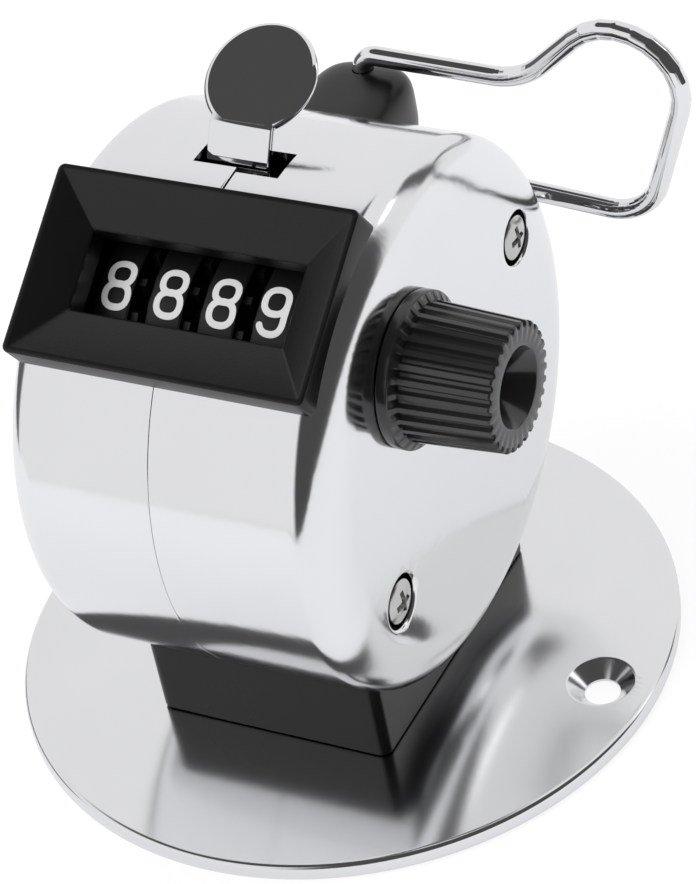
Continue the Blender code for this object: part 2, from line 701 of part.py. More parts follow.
def carry_pinions():
    pinion_radius = GEAR_PITCH_RADIUS * PINION_TEETH / GEAR_TEETH
    phase = DISPLAY_TILT + PINION_ANGLE + math.pi * (1 + 1 / PINION_TEETH)
    outline = teeth(PINION_TEETH, pinion_radius, TOOTH_ABOVE, TOOTH_BELOW)
    outlines = [turned_outline(outline, phase), circle(PINION_SHAFT_RADIUS + RUNNING)]
    pinions = []
    for index in range(3):
        middle = (WHEEL_XS[2 - index] + WHEEL_XS[3 - index]) / 2
        spot = at((middle, PINION_AXIS.y, PINION_AXIS.z)) @ SIDE_ON
        name = f"carry_pinion_{index + 1}"
        pinions.append(flat(name, outlines, -PINION_FACE / 2, PINION_FACE / 2, spot, NYLON))
    return pinions


def shafts():
    """The wheel shaft that the knob turns, threaded for the knob's screw, and the pinion shaft."""
    start = FRAME_LEFT - FRAME_PLATE - FIT
    shaft = rod("wheel_shaft", SHAFT_RADIUS, start, SHAFT_END, across(WHEEL_AXIS) @ ALONG_X, STEEL)
    cut(shaft, rod("shaft_thread", KNOB_SCREW_RADIUS + THREAD, SHAFT_END - KNOB_SCREW_LENGTH, SHAFT_END + FIT,
                   across(WHEEL_AXIS) @ ALONG_X, cutter=True))
    end = FRAME_RIGHT + FRAME_PLATE + FIT
    pinion_shaft = rod("pinion_shaft", PINION_SHAFT_RADIUS, start, end, across(PINION_AXIS) @ ALONG_X, STEEL)
    return shaft, pinion_shaft


def ratchet_wheel():
    outline = []
    step = 360 / RATCHET_TEETH
    for index in range(RATCHET_TEETH):
        outline += arc((0, 0), RATCHET_RADIUS, index * step, index * step, 1)[:1]
        outline += arc((0, 0), RATCHET_RADIUS - RATCHET_TOOTH, index * step + 4, index * step + 4, 1)[:1]
    return flat("ratchet_wheel", [outline, circle(SHAFT_RADIUS + RUNNING)], RATCHET_LOW, RATCHET_HIGH,
                across(WHEEL_AXIS) @ SIDE_ON, BRASS)


def reset_knob():
    """A tapered, fluted knob with a flange, a well in its end and a bore for the shaft."""
    spot = across(WHEEL_AXIS) @ ALONG_X
    knob = rod("reset_knob", KNOB_BASE_RADIUS, KNOB_START + KNOB_FLANGE / 2, KNOB_END, spot, BLACK,
               segments=2 * KNOB_FLUTES, end_radius=KNOB_END_RADIUS)
    for vert in knob.data.vertices:
        place_round = math.atan2(vert.co.y, vert.co.x) / math.pi * KNOB_FLUTES
        if round(place_round) % 2:
            vert.co.xy *= 1 - FLUTE_DEPTH / KNOB_BASE_RADIUS
    flange = [(0, KNOB_START + KNOB_FLANGE), (KNOB_FLANGE_RADIUS - FIT, KNOB_START + KNOB_FLANGE),
              (KNOB_FLANGE_RADIUS, KNOB_START + KNOB_FLANGE - FIT), (KNOB_FLANGE_RADIUS, KNOB_START),
              (0, KNOB_START)]
    join(knob, turned("knob_flange", flange, spot, cutter=True, steps=ROUND))
    floor = KNOB_END - KNOB_RECESS_DEPTH
    cut(knob, rod("knob_well", KNOB_RECESS_RADIUS, floor, KNOB_END + FIT, spot, cutter=True, segments=ROUND),
        rod("knob_socket", SHAFT_RADIUS + RUNNING, KNOB_START - FIT, SHAFT_END + FIT, spot, cutter=True),
        rod("knob_screw_hole", KNOB_SCREW_RADIUS + THREAD, SHAFT_END, floor + FIT, spot, cutter=True))
    screw = pan_screw("knob_screw", floor + RUNNING, SHAFT_END - KNOB_SCREW_LENGTH + FIT, spot,
                      KNOB_SCREW_RADIUS, KNOB_SCREW_HEAD_RADIUS, KNOB_SCREW_HEAD, STEEL)
    return knob, screw


def disc_centre():
    """The middle of the lever's thumb disc, up the slope from the neck."""
    rise = Vector((0, math.cos(LEVER_DISC_SLOPE), math.sin(LEVER_DISC_SLOPE)))
    return NECK_POINT + Vector((LEVER_X, 0, LEVER_NECK_RISE)) + rise * LEVER_DISC_RADIUS


def swung(point, angle):
    """A point carried round the lever's pivot."""
    return PIVOT + Matrix.Rotation(angle, 3, "X") @ (point - PIVOT)


def lever_slot():
    """The slot in the casing's crown that leaves room for the neck over the lever's whole travel."""
    forward = swung(NECK_POINT, LEVER_TRAVEL).y
    wall = LEVER_SHEET / 2 + FIT
    half = LEVER_NECK_HALF_WIDTH + 3 * FIT
    return box("lever_slot", (LEVER_X - half, forward - wall, PIVOT.z),
               (LEVER_X + half, NECK_POINT.y + wall, NECK_POINT.z + CASING_FILLET), cutter=True)


def thumb_lever():
    """A bent sheet: a hub on the pin, an arm up through the slot and a thumb disc."""
    hub = LEVER_PIN_RADIUS + RUNNING + LEVER_HUB_WALL
    bend = NECK_POINT - Vector((0, 0, 2 * LEVER_NECK_RISE + CASING_WALL))
    rise = disc_centre() - Vector((LEVER_X, 0, 0))
    path = [side(PIVOT), side(bend), side(NECK_POINT + Vector((0, 0, LEVER_NECK_RISE))), side(rise)]
    low, high = LEVER_X - LEVER_NECK_HALF_WIDTH, LEVER_X + LEVER_NECK_HALF_WIDTH
    end = RATCHET_HIGH
    lever = flat("thumb_lever", [strip_outline(path, LEVER_SHEET)], low, high, SIDE_ON, CHROME)
    half = LEVER_SHEET / 2
    lean = Matrix.Rotation(LEVER_DISC_SLOPE, 4, "X")
    join(lever, rod("lever_disc", LEVER_DISC_RADIUS, -half, half, at(disc_centre()) @ lean, cutter=True,
                    segments=ROUND))
    join(lever, rod("lever_hub", hub, low, end, across(PIVOT) @ ALONG_X, cutter=True))
    cut(lever, rod("lever_bore", LEVER_PIN_RADIUS + RUNNING, low - FIT, end + FIT, across(PIVOT) @ ALONG_X,
                   cutter=True))
    pin = rod("lever_pin", LEVER_PIN_RADIUS, FRAME_LEFT - FRAME_PLATE - FIT, FRAME_RIGHT + FRAME_PLATE + FIT,
              across(PIVOT) @ ALONG_X, STEEL)
    return lever, pin


def feed_motion():
    """An arm on the lever's pin, and a pawl hung from it that reaches the ratchet's rear."""
    low = RATCHET_HIGH + FIT
    hub = LEVER_PIN_RADIUS + RUNNING + LEVER_HUB_WALL
    boss = PAWL_PIN_RADIUS + LEVER_HUB_WALL
    edge = hull(circle(hub, SMALL, side(PIVOT)) + circle(boss, SMALL, side(PAWL_PIN)))
    holes = [circle(LEVER_PIN_RADIUS + RUNNING, SMALL, side(PIVOT)),
             circle(PAWL_PIN_RADIUS + RUNNING, SMALL, side(PAWL_PIN))]
    arm = flat("feed_arm", [edge] + holes, low, low + FEED_ARM_SHEET, SIDE_ON, STEEL)
    pin = rod("pawl_pin", PAWL_PIN_RADIUS, RATCHET_LOW - FIT / 2, low + FEED_ARM_SHEET,
              across(PAWL_PIN) @ ALONG_X, STEEL)
    tip = WHEEL_AXIS + Vector((0, RATCHET_RADIUS + FIT + PAWL_WIDTH / 2, 0))
    edge = hull(circle(boss, SMALL, side(PAWL_PIN)) + circle(PAWL_WIDTH / 2, SMALL, side(tip)))
    pawl = flat("feed_pawl", [edge, circle(PAWL_PIN_RADIUS + RUNNING, SMALL, side(PAWL_PIN))], RATCHET_LOW,
                RATCHET_HIGH, SIDE_ON, BRASS)
    return arm, pin, pawl


def detent_spring():
    """A leaf with an eye on the lower spacer; its tip rests just clear of the ratchet."""
    eye = SPACER_RADIUS + RUNNING
    start = Vector(side(LOWER_POST)) + Vector((eye + DETENT_SHEET, 0))
    tip = Vector(side(WHEEL_AXIS)) - Vector((0, RATCHET_RADIUS + FIT + DETENT_SHEET))
    knee = Vector((start.x, (start.y + tip.y) / 2))
    rings = [circle(radius, ROUND, side(LOWER_POST)) for radius in (eye + 2 * DETENT_SHEET, eye)]
    leaf = flat("detent_spring", rings, RATCHET_LOW, RATCHET_HIGH, SIDE_ON, STEEL)
    blade = strip_outline([tuple(start), tuple(knee), tuple(tip)], DETENT_SHEET)
    join(leaf, flat("detent_blade", [blade], RATCHET_LOW, RATCHET_HIGH, SIDE_ON, cutter=True))
    return leaf


def lever_spring():
    """A torsion coil round the lever's pin, beside the hub; both legs stand clear of the lever."""
    coil = LEVER_PIN_RADIUS + RUNNING + LEVER_HUB_WALL + FIT + SPRING_WIRE
    start = LEVER_X + LEVER_NECK_HALF_WIDTH + 2 * FIT + SPRING_WIRE
    per_turn = 12
    points = []
    for step in range(SPRING_TURNS * per_turn + 1):
        angle = 2 * math.pi * step / per_turn
        points.append((start + SPRING_PITCH * step / per_turn, PIVOT.y + coil * math.cos(angle),
                       PIVOT.z + coil * math.sin(angle)))
    leg = coil + 2 * LEVER_HUB_WALL
    points.insert(0, (points[0][0], points[0][1], PIVOT.z - leg))
    points.append((points[-1][0], points[-1][1], PIVOT.z + coil))
    return wire("lever_spring", points, SPRING_WIRE, STEEL, rounds=1)


def ring_corners():
    """The ring's straight runs, as corners in its own upright plane; both ends stand on its axis."""
    upper_leg = CASING_AXIS.z + RING_UPPER_LEG
    lower_leg = CASING_AXIS.z + RING_LOWER_LEG
    peak = CASING_AXIS + RING_PEAK
    heel = CASING_AXIS + RING_HEEL
    upper_end = upper_leg - RING_BEND - LUG_CLEARANCE
    lower_end = lower_leg + RING_BEND + LUG_CLEARANCE
    middle = (upper_end + lower_end) / 2
    half = RING_END_GAP / 2
    corners = [(RING_X, middle + half), (RING_X, upper_leg), (RING_DIP_X, upper_leg), (peak.x, peak.z),
               (heel.x, heel.z), (RING_X, lower_leg), (RING_X, middle - half)]
    return [Vector((x, RING_Y, z)) for x, z in corners], lower_end, upper_end


def finger_ring():
    corners, bottom, top = ring_corners()
    radii = (RING_BEND, RING_DIP_RADIUS, RING_PEAK_RADIUS, RING_HEEL_RADIUS, RING_BEND)
    ring = wire("finger_ring", rounded_path(corners, radii), RING_WIRE, CHROME, rounds=2)
    return ring, bottom, top


def ring_lug(left, bottom, top):
    """A rounded block on the casing's back with an upright bore for the ring's two ends, and its screw."""
    low = (RING_X - LUG_HALF_WIDTH, CASING_AXIS.y, bottom)
    high = (RING_X + LUG_HALF_WIDTH, RING_Y + LUG_OVERHANG, top)
    lug = box("ring_lug", low, high, material=BLACK)
    soften = lug.modifiers.new("corners", "BEVEL")
    soften.width = LUG_ROUND
    soften.segments = 3
    cut(lug, casing_form("lug_seat_form", FIT))
    cut(lug, rod("ring_bore", RING_WIRE + RUNNING, bottom - FIT, top + FIT, at((RING_X, RING_Y, 0)),
                 cutter=True))
    middle = (bottom + top) / 2
    slope = math.asin((middle - CASING_AXIS.z) / CASING_RADIUS)
    outward = at((RING_X, CASING_AXIS.y, CASING_AXIS.z)) @ Matrix.Rotation(slope - math.pi / 2, 4, "X")
    seat = CASING_INNER - FIT
    tip = CASING_RADIUS + LUG_SCREW_DEPTH
    profile = [(0, tip), (LUG_SCREW_RADIUS, tip), (LUG_SCREW_RADIUS, seat), (LUG_SCREW_HEAD_RADIUS, seat),
               (LUG_SCREW_HEAD_RADIUS, seat - LUG_SCREW_HEAD), (0, seat - LUG_SCREW_HEAD)]
    turned("lug_screw", profile, outward, STEEL, steps=SMALL)
    hole = rod("lug_screw_hole", LUG_SCREW_RADIUS + THREAD, seat, tip + FIT, outward, cutter=True)
    cut(lug, hole)
    cut(left, hole)
    return lug


def build():
    plate = base_plate()
    foot = foot_block()
    left, right = casing()
    saddle_fixing(plate, foot, left, right)
    casing_screws()
    display_bezel()
    inner_frame()
    wheels = number_wheels()
    pinions = carry_pinions()
    shaft, pinion_shaft = shafts()
    ratchet = ratchet_wheel()
    knob, knob_screw = reset_knob()
    lever, lever_pin = thumb_lever()
    arm, pawl_pin, pawl = feed_motion()
    detent_spring()
    lever_spring()
    ring, bottom, top = finger_ring()
    ring_lug(left, bottom, top)
    hang(axle("wheel_axis", WHEEL_AXIS), *wheels, shaft, ratchet, knob, knob_screw)
    hang(axle("pinion_axis", PINION_AXIS), pinion_shaft, *pinions)
    hang(axle("lever_axis", PIVOT), lever, arm, pawl_pin)
    hang(axle("pawl_axis", PAWL_PIN), pawl)
    hang(axle("ring_axis", Vector((RING_X, RING_Y, 0))), ring)


build()
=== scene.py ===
"""Dresses the desk tally counter: smooth chrome shells, moulded black pieces, number wheels, a studio.

Lengths are in metres. +X is the knob's side, -Y the reader's side and +Z is up.
"""

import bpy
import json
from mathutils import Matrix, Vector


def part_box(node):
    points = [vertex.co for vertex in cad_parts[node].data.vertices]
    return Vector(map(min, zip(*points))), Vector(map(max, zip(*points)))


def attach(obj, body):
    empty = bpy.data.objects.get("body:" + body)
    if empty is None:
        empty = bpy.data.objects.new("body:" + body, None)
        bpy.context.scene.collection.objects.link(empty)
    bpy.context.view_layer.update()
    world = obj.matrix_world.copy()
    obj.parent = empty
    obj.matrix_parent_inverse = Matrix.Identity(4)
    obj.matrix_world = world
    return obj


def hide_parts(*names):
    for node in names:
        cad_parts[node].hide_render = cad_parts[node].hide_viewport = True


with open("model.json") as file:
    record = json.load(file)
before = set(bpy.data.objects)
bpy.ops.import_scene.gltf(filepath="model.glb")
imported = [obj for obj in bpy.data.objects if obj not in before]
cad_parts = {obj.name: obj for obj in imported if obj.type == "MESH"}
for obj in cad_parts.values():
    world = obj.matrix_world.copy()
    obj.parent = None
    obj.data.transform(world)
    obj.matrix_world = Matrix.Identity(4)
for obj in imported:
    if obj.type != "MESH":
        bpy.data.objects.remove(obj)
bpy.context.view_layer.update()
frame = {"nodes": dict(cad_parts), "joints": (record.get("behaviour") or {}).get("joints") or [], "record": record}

import json
import math

import bmesh
import bpy
import numpy as np
from bpy.props import FloatProperty, FloatVectorProperty, PointerProperty
from mathutils import Matrix

bl_info = {
    "name": "Desk tally counter",
    "version": (1, 0, 0),
    "blender": (4, 5, 0),
    "location": "View3D > Sidebar > Counter",
    "description": "Builds the visible pieces of a chromed desk tally counter",
    "category": "Add Mesh",
}

MM = 0.001
X = np.array([1.0, 0.0, 0.0])
Y = np.array([0.0, 1.0, 0.0])
Z = np.array([0.0, 0.0, 1.0])

# Places of the solids, which the pieces are laid out from.
JOINTS = {joint["name"]: np.array(joint["pos_m"]) for joint in frame["joints"]}
WHEEL_AXIS = JOINTS["reset_turn"]
LEVER_AXIS = JOINTS["lever_press"]
RING_AXIS = JOINTS["ring_swing"]
SHELL_LOW, SHELL_HIGH = (np.array(corner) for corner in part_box("casing_right"))
CASING_MIDDLE = np.array([0.0, (SHELL_LOW[1] + SHELL_HIGH[1]) / 2, (SHELL_LOW[2] + SHELL_HIGH[2]) / 2])
CASING_RADIUS = float(SHELL_HIGH[2] - SHELL_LOW[2]) / 2
CASING_HALF = float(SHELL_HIGH[0])
CASING_TOP = CASING_MIDDLE[2] + CASING_RADIUS
SEAM = float(SHELL_LOW[0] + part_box("casing_left")[1][0]) / 2
LEVER_X = float(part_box("thumb_lever")[0][0]) + 5.37 * MM

# How far the left sides stand outside their solids, and the left cup's tighter edge.
CUP_LEFT = 0.5 * MM
BEZEL_LEFT = 0.3 * MM
FOOT_LEFT = 0.6 * MM
LEFT_SHOULDER = 3.8 * MM

# The number wheels: each one's digit in the window, that digit's angle and the step to the next.
SHOWN = {"thousands": 8, "hundreds": 8, "tens": 8, "units": 9}
FIRST_DIGIT_ANGLE = math.radians(0.6)
DIGIT_STEP = math.radians(36)

# The camera's right and down, its place and its lens.
CAMERA_RIGHT = np.array([0.88385, 0.43891, -0.16178])
CAMERA_DOWN = np.array([0.16818, -0.62088, -0.76565])
CAMERA_SPOT = (0.14609, -0.21130, 0.22678)
LENS, SENSOR = 153.55, 36

# Each lamp: its name, place, size, power and whether metal shows it.
LAMPS = (
    ("key_lamp", (-0.30, -0.35, 0.55), 0.6, 6.0, False),
    ("back_lamp", (0.15, 0.45, 0.5), 0.6, 4.0, False),
    ("strip_lamp", (0.436, 0.393, 0.381), 0.1, 0.04, True),
)
LAMPS_AIM = (0, 0, 0.03)

# The room below and above its horizon: the span of heights that it changes over, and the two levels.
HORIZON, ROOM_LEVELS = (-0.27, -0.20), (0.5, 0.86)

# Each card: its left and right edges as bearings from the front, its lower and upper edges as heights
# above level, all in degrees and each from outside to inside, and its brightness.
CARDS = (
    (((-6, 12), (126, 120)), ((-80, -70), (90, 89)), 0.07),
    (((-165, -150), (30, 20)), ((47, 52), (90, 89)), 0.07),
    (((138, 142), (156, 150)), ((0, 5), (32, 26)), 0.10),
    (((-118, -106), (-66, -76)), ((-40, -30), (20, 14)), 0.12),
)


def length(name, default, text):
    """A length property in metres."""
    return FloatProperty(name=name, description=text, default=default, unit="LENGTH", precision=5)


def colour(name, default, text):
    """A linear colour property."""
    return FloatVectorProperty(name=name, description=text, default=default, subtype="COLOR",
                               size=3, min=0, max=1)


class CounterSizes(bpy.types.PropertyGroup):
    """Sizes that the solids leave open, and those repeated from them."""

    fillet: length("Casing fillet", 3.0 * MM, "Reach of the casing's rounded edges along its axis")
    shoulder: length("Casing shoulder", 5.2 * MM, "Reach of the casing's rounded edges towards its axis")
    wall: length("Casing wall", 0.8 * MM, "Thickness of the casing's sheet")
    seam_gap: length("Seam gap", 0.03 * MM, "Width of the line between the two cups")
    seat_gap: length("Seat gap", 0.1 * MM, "Gap between the casing and what sits on it")
    recess_radius: length("Recess radius", 2.4 * MM, "Radius of the dimple round a casing screw")
    recess_depth: length("Recess depth", 1.0 * MM, "Depth of the dimple round a casing screw")
    tilt: FloatProperty(name="Display tilt", description="Lean of the display from level", subtype="ANGLE",
                        default=math.radians(33.5))
    bezel_height: length("Bezel height", 14.6 * MM, "Height of the bezel's rim above the wheels' axis")
    window_drop: length("Window drop", 1.35 * MM, "Depth of the sloping well")
    wire: length("Ring wire", 0.9 * MM, "Radius of the finger ring's wire")
    digit_height: length("Digit height", 4.45 * MM, "Height of a printed digit")
    digit_stroke: length("Digit stroke", 0.58 * MM, "Width of a printed line")
    disc_radius: length("Disc radius", 5.1 * MM, "Radius of the lever's thumb disc")
    disc_reach: length("Disc reach", 4.45 * MM, "From the lever's bend to the middle of its disc")
    neck_rise: length("Neck rise", 1.6 * MM, "Height of the lever's bend above the casing")
    sheet: length("Lever sheet", 0.8 * MM, "Thickness of the lever's sheet")


class CounterColours(bpy.types.PropertyGroup):
    """Colours of the finishes."""

    chrome: colour("Chrome", (0.86, 0.865, 0.875), "Polished chromed steel")
    steel: colour("Steel", (0.62, 0.62, 0.61), "Bright plated screws and inner steel")
    brass: colour("Brass", (0.72, 0.54, 0.25), "Inner brass pieces")
    plastic: colour("Black plastic", (0.0035, 0.0035, 0.0038), "Moulded bezel, foot and lug")
    knob: colour("Knob black", (0.013, 0.013, 0.0135), "Moulded knob")
    wheel: colour("Wheel black", (0.004, 0.004, 0.0045), "Number wheels")
    digit: colour("Digit white", (0.60, 0.60, 0.60), "Printed digits")
    # The carry pinions' near-black is painted shade: it keeps the gaps between the number wheels as dark as their
    # shade.
    nylon: colour("Nylon", (0.02, 0.02, 0.02), "Carry pinions")
    floor: colour("Floor", (0.90, 0.90, 0.90), "Studio floor")


def sizes():
    """The scene's sizes."""
    return bpy.context.scene.counter_sizes


def colours():
    """The scene's colours."""
    return bpy.context.scene.counter_colours


def plug(tree, value, socket):
    """Links an output to a socket, or sets a plain number or colour on it."""
    if isinstance(value, bpy.types.NodeSocket):
        tree.links.new(value, socket)
    else:
        socket.default_value = value


def math_node(tree, operation, *values):
    """The result of a Math node."""
    node = tree.nodes.new("ShaderNodeMath")
    node.operation = operation
    for place, value in enumerate(values):
        plug(tree, value, node.inputs[place])
    return node.outputs[0]


def mix_node(tree, factor, first, second, kind="FLOAT"):
    """The result of a Mix node: first where the factor is 0, second where it is 1."""
    node = tree.nodes.new("ShaderNodeMix")
    node.data_type = kind
    for name, value in (("Factor", factor), ("A", first), ("B", second)):
        plug(tree, value, node.inputs[name])
    return node.outputs["Result"]


def surface_wear():
    """Shared group: a drifting tint and roughness, and a fine height, from noise on Object coordinates."""
    name = "surface_wear"
    if name in bpy.data.node_groups:
        return bpy.data.node_groups[name]
    group = bpy.data.node_groups.new(name, "ShaderNodeTree")
    tinted, plain = "NodeSocketColor", "NodeSocketFloat"
    for socket, kind in (("Color", tinted), ("Worn Color", tinted), ("Roughness", plain),
                         ("Spread", plain), ("Scale", plain), ("Grain Scale", plain)):
        group.interface.new_socket(socket, in_out="INPUT", socket_type=kind)
    for socket, kind in (("Color", tinted), ("Roughness", plain), ("Height", plain)):
        group.interface.new_socket(socket, in_out="OUTPUT", socket_type=kind)
    node, link = group.nodes.new, group.links.new
    into, out = node("NodeGroupInput").outputs, node("NodeGroupOutput").inputs
    place = node("ShaderNodeTexCoord")
    broad, fine = node("ShaderNodeTexNoise"), node("ShaderNodeTexNoise")
    for noise, detail, scale in ((broad, 4, "Scale"), (fine, 2, "Grain Scale")):
        noise.inputs["Detail"].default_value = detail
        link(place.outputs["Object"], noise.inputs["Vector"])
        link(into[scale], noise.inputs["Scale"])
    drift = broad.outputs["Fac"]
    shift = math_node(group, "SUBTRACT", drift, 0.5)
    link(mix_node(group, drift, into["Color"], into["Worn Color"], "RGBA"), out["Color"])
    link(math_node(group, "MULTIPLY_ADD", shift, into["Spread"], into["Roughness"]), out["Roughness"])
    link(fine.outputs["Fac"], out["Height"])
    return group


def finish(name, base, worn, roughness, spread, scale, grain, bump, metallic=0.0, specular=0.5):
    """A Principled BSDF whose colour, roughness and fine relief come from the surface_wear group."""
    if name in bpy.data.materials:
        return bpy.data.materials[name]
    material = bpy.data.materials.new(name)
    material.use_nodes = True
    tree = material.node_tree
    shader = tree.nodes["Principled BSDF"]
    shader.inputs["Metallic"].default_value = metallic
    shader.inputs["Specular IOR Level"].default_value = specular
    wear = tree.nodes.new("ShaderNodeGroup")
    wear.node_tree = surface_wear()
    for socket, value in (("Color", (*base, 1)), ("Worn Color", (*(worn * part for part in base), 1)),
                          ("Roughness", roughness), ("Spread", spread), ("Scale", scale),
                          ("Grain Scale", grain)):
        wear.inputs[socket].default_value = value
    relief = tree.nodes.new("ShaderNodeBump")
    relief.inputs["Strength"].default_value = bump
    relief.inputs["Distance"].default_value = 0.0003
    tree.links.new(wear.outputs["Color"], shader.inputs["Base Color"])
    tree.links.new(wear.outputs["Roughness"], shader.inputs["Roughness"])
    tree.links.new(wear.outputs["Height"], relief.inputs["Height"])
    tree.links.new(relief.outputs["Normal"], shader.inputs["Normal"])
    return material


def chrome():
    """The casing's polish, a little soft."""
    return finish("polished_chrome", colours().chrome, worn=0.97, roughness=0.13, spread=0.06,
                  scale=90, grain=700, bump=0.03, metallic=1.0)


def bright_chrome():
    """The clear polish of the lever and the ring."""
    return finish("bright_chrome", colours().chrome, worn=0.97, roughness=0.05, spread=0.03,
                  scale=90, grain=260, bump=0.01, metallic=1.0)


def plate_chrome():
    """The base plate's polish, with a slow waviness."""
    return finish("plate_chrome", colours().chrome, worn=0.95, roughness=0.15, spread=0.06,
                  scale=70, grain=160, bump=0.03, metallic=1.0)


def steel():
    """Plated screws and inner steel."""
    return finish("plated_steel", colours().steel, worn=0.85, roughness=0.22, spread=0.08,
                  scale=400, grain=2500, bump=0.03, metallic=1.0)


def plastic():
    """The satin black of the bezel, foot and lug."""
    return finish("moulded_black", colours().plastic, worn=1.6, roughness=0.28, spread=0.06,
                  scale=120, grain=4200, bump=0.03, specular=0.35)


def wheel_black():
    """The dull black of the number wheels."""
    return finish("wheel_black", colours().wheel, worn=1.5, roughness=0.42, spread=0.1,
                  scale=300, grain=3000, bump=0.04)


def knob_plastic():
    """The knob's glossier black."""
    return finish("knob_black", colours().knob, worn=1.4, roughness=0.17, spread=0.05,
                  scale=200, grain=4200, bump=0.02, specular=0.7)


def arc(middle, radius, start, end, count):
    """Points on a circle about middle, from start to end in degrees."""
    angle = np.radians(np.linspace(start, end, count + 1))
    return np.stack([middle[0] + radius * np.cos(angle), middle[1] + radius * np.sin(angle)], 1)


def chain(*stretches):
    """Profile stretches, joined end to end without repeated points."""
    points = np.concatenate([np.atleast_2d(np.array(part, float)) for part in stretches])
    keep = np.ones(len(points), bool)
    keep[1:] = np.linalg.norm(np.diff(points, axis=0), axis=1) > 1e-8
    return points[keep]


def turned(profile, origin, axis, steps=192, closed=False):
    """A profile of (radius, height) turned about an axis: origin + radius * circle + height * axis."""
    axis = np.array(axis, float)
    helper = Z if abs(axis[2]) < 0.9 else X
    first = np.cross(helper, axis)
    first /= np.linalg.norm(first)
    second = np.cross(axis, first)
    turn = np.linspace(0, 2 * np.pi, steps, endpoint=False)
    circle = np.cos(turn)[:, None] * first + np.sin(turn)[:, None] * second
    points = np.array(origin) + profile[None, :, :1] * circle[:, None, :] + profile[None, :, 1:] * axis
    return points, True, closed


def swept(path, section, first, second):
    """A section of (a, b) pairs carried along a path: point + a * first + b * second at each point."""
    points = (path[:, None, :] + section[None, :, :1] * first[:, None, :]
              + section[None, :, 1:] * second[:, None, :])
    return points, False, True


def directions(path):
    """Unit vectors along a path, from the differences of its neighbours."""
    along = np.gradient(path, axis=0)
    return along / np.linalg.norm(along, axis=1)[:, None]


def grid_faces(rows, columns, wrap_rows, wrap_columns, offset):
    """Quads between neighbours of a grid, with its far edges joined to its near ones where it wraps."""
    row = np.arange(rows if wrap_rows else rows - 1)
    column = np.arange(columns if wrap_columns else columns - 1)
    i, j = (part.ravel() for part in np.meshgrid(row, column, indexing="ij"))
    k, m = (i + 1) % rows, (j + 1) % columns
    return offset + np.stack([i * columns + j, k * columns + j, k * columns + m, i * columns + m], 1)


def mesh_of(name, grids):
    """One mesh from several grids. A tube's open ends get a face, poles are merged, normals point out."""
    points, faces, caps, offset = [], [], [], 0
    for grid, wrap_rows, wrap_columns in grids:
        rows, columns = grid.shape[:2]
        points.append(grid.reshape(-1, 3))
        faces.append(grid_faces(rows, columns, wrap_rows, wrap_columns, offset))
        if wrap_columns and not wrap_rows:
            caps.append(offset + np.arange(columns))
            caps.append(offset + (rows - 1) * columns + np.arange(columns))
        offset += rows * columns
    mesh = bpy.data.meshes.new(name)
    polygons = np.concatenate(faces).tolist() + [cap.tolist() for cap in caps]
    mesh.from_pydata(np.concatenate(points).tolist(), [], polygons)
    shape = bmesh.new()
    shape.from_mesh(mesh)
    bmesh.ops.remove_doubles(shape, verts=shape.verts, dist=1e-7)
    bmesh.ops.dissolve_degenerate(shape, edges=shape.edges, dist=1e-8)
    bmesh.ops.recalc_face_normals(shape, faces=shape.faces)
    shape.to_mesh(mesh)
    shape.free()
    return mesh


def loose(name, *grids):
    """An object at the origin, in the scene and with no finish yet."""
    item = bpy.data.objects.new(name, mesh_of(name, grids))
    bpy.context.scene.collection.objects.link(item)
    return item


def piece(name, grids, material, body, nodes=(), cutters=(), sharp=28):
    """A finished piece: its grids as one mesh, carved by the cutters, shaded, riding on a body."""
    item = loose(name, *grids)
    if cutters:
        carve(item, cutters)
    item.data.materials.clear()
    item.data.materials.append(material)
    item.data.shade_smooth()
    item.data.set_sharp_from_angle(angle=math.radians(sharp))
    if cutters:
        weigh = item.modifiers.new("flat faces keep their normals", "WEIGHTED_NORMAL")
        weigh.keep_sharp = True
    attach(item, body)
    if nodes:
        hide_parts(*nodes)


def carve(item, cutters):
    """Takes the cutters out of the item's mesh for good, and removes them."""
    for cutter in cutters:
        step = item.modifiers.new(cutter.name, "BOOLEAN")
        step.operation = "DIFFERENCE"
        step.solver = "EXACT"
        step.object = cutter
    bpy.context.view_layer.update()
    graph = bpy.context.evaluated_depsgraph_get()
    mesh = bpy.data.meshes.new_from_object(item.evaluated_get(graph))
    if not mesh.polygons:
        raise RuntimeError(item.name + " lost its whole mesh in a cut")
    item.modifiers.clear()
    item.data = mesh
    for cutter in cutters:
        bpy.data.objects.remove(cutter)


def block(low, high, turn=None, origin=None):
    """A plain box as a grid: a square tube from low to high, in a turned frame if one is given."""
    ring = np.array([[low[0], low[1]], [high[0], low[1]], [high[0], high[1]], [low[0], high[1]]])
    points = np.stack([np.column_stack([ring, np.full(4, level)]) for level in (low[2], high[2])])
    if turn is not None:
        points = points @ turn.T + origin
    return points, False, True


def rounded_rectangle(half_x, half_y, corner, straight=24, bend=6):
    """A loop round a rectangle with round corners: quarter circles joined by straight runs."""
    ways = np.array([(1, 1), (-1, 1), (-1, -1), (1, -1)])
    middles = ways * (half_x - corner, half_y - corner)
    turns = [arc(middle, corner, 90 * k, 90 * k + 90, bend) for k, middle in enumerate(middles)]
    part = np.linspace(0, 1, straight + 1)[1:-1, None]
    loop = []
    for turn, following in zip(turns, turns[1:] + turns[:1]):
        loop += [turn, turn[-1] + part * (following[0] - turn[-1])]
    return np.concatenate(loop)


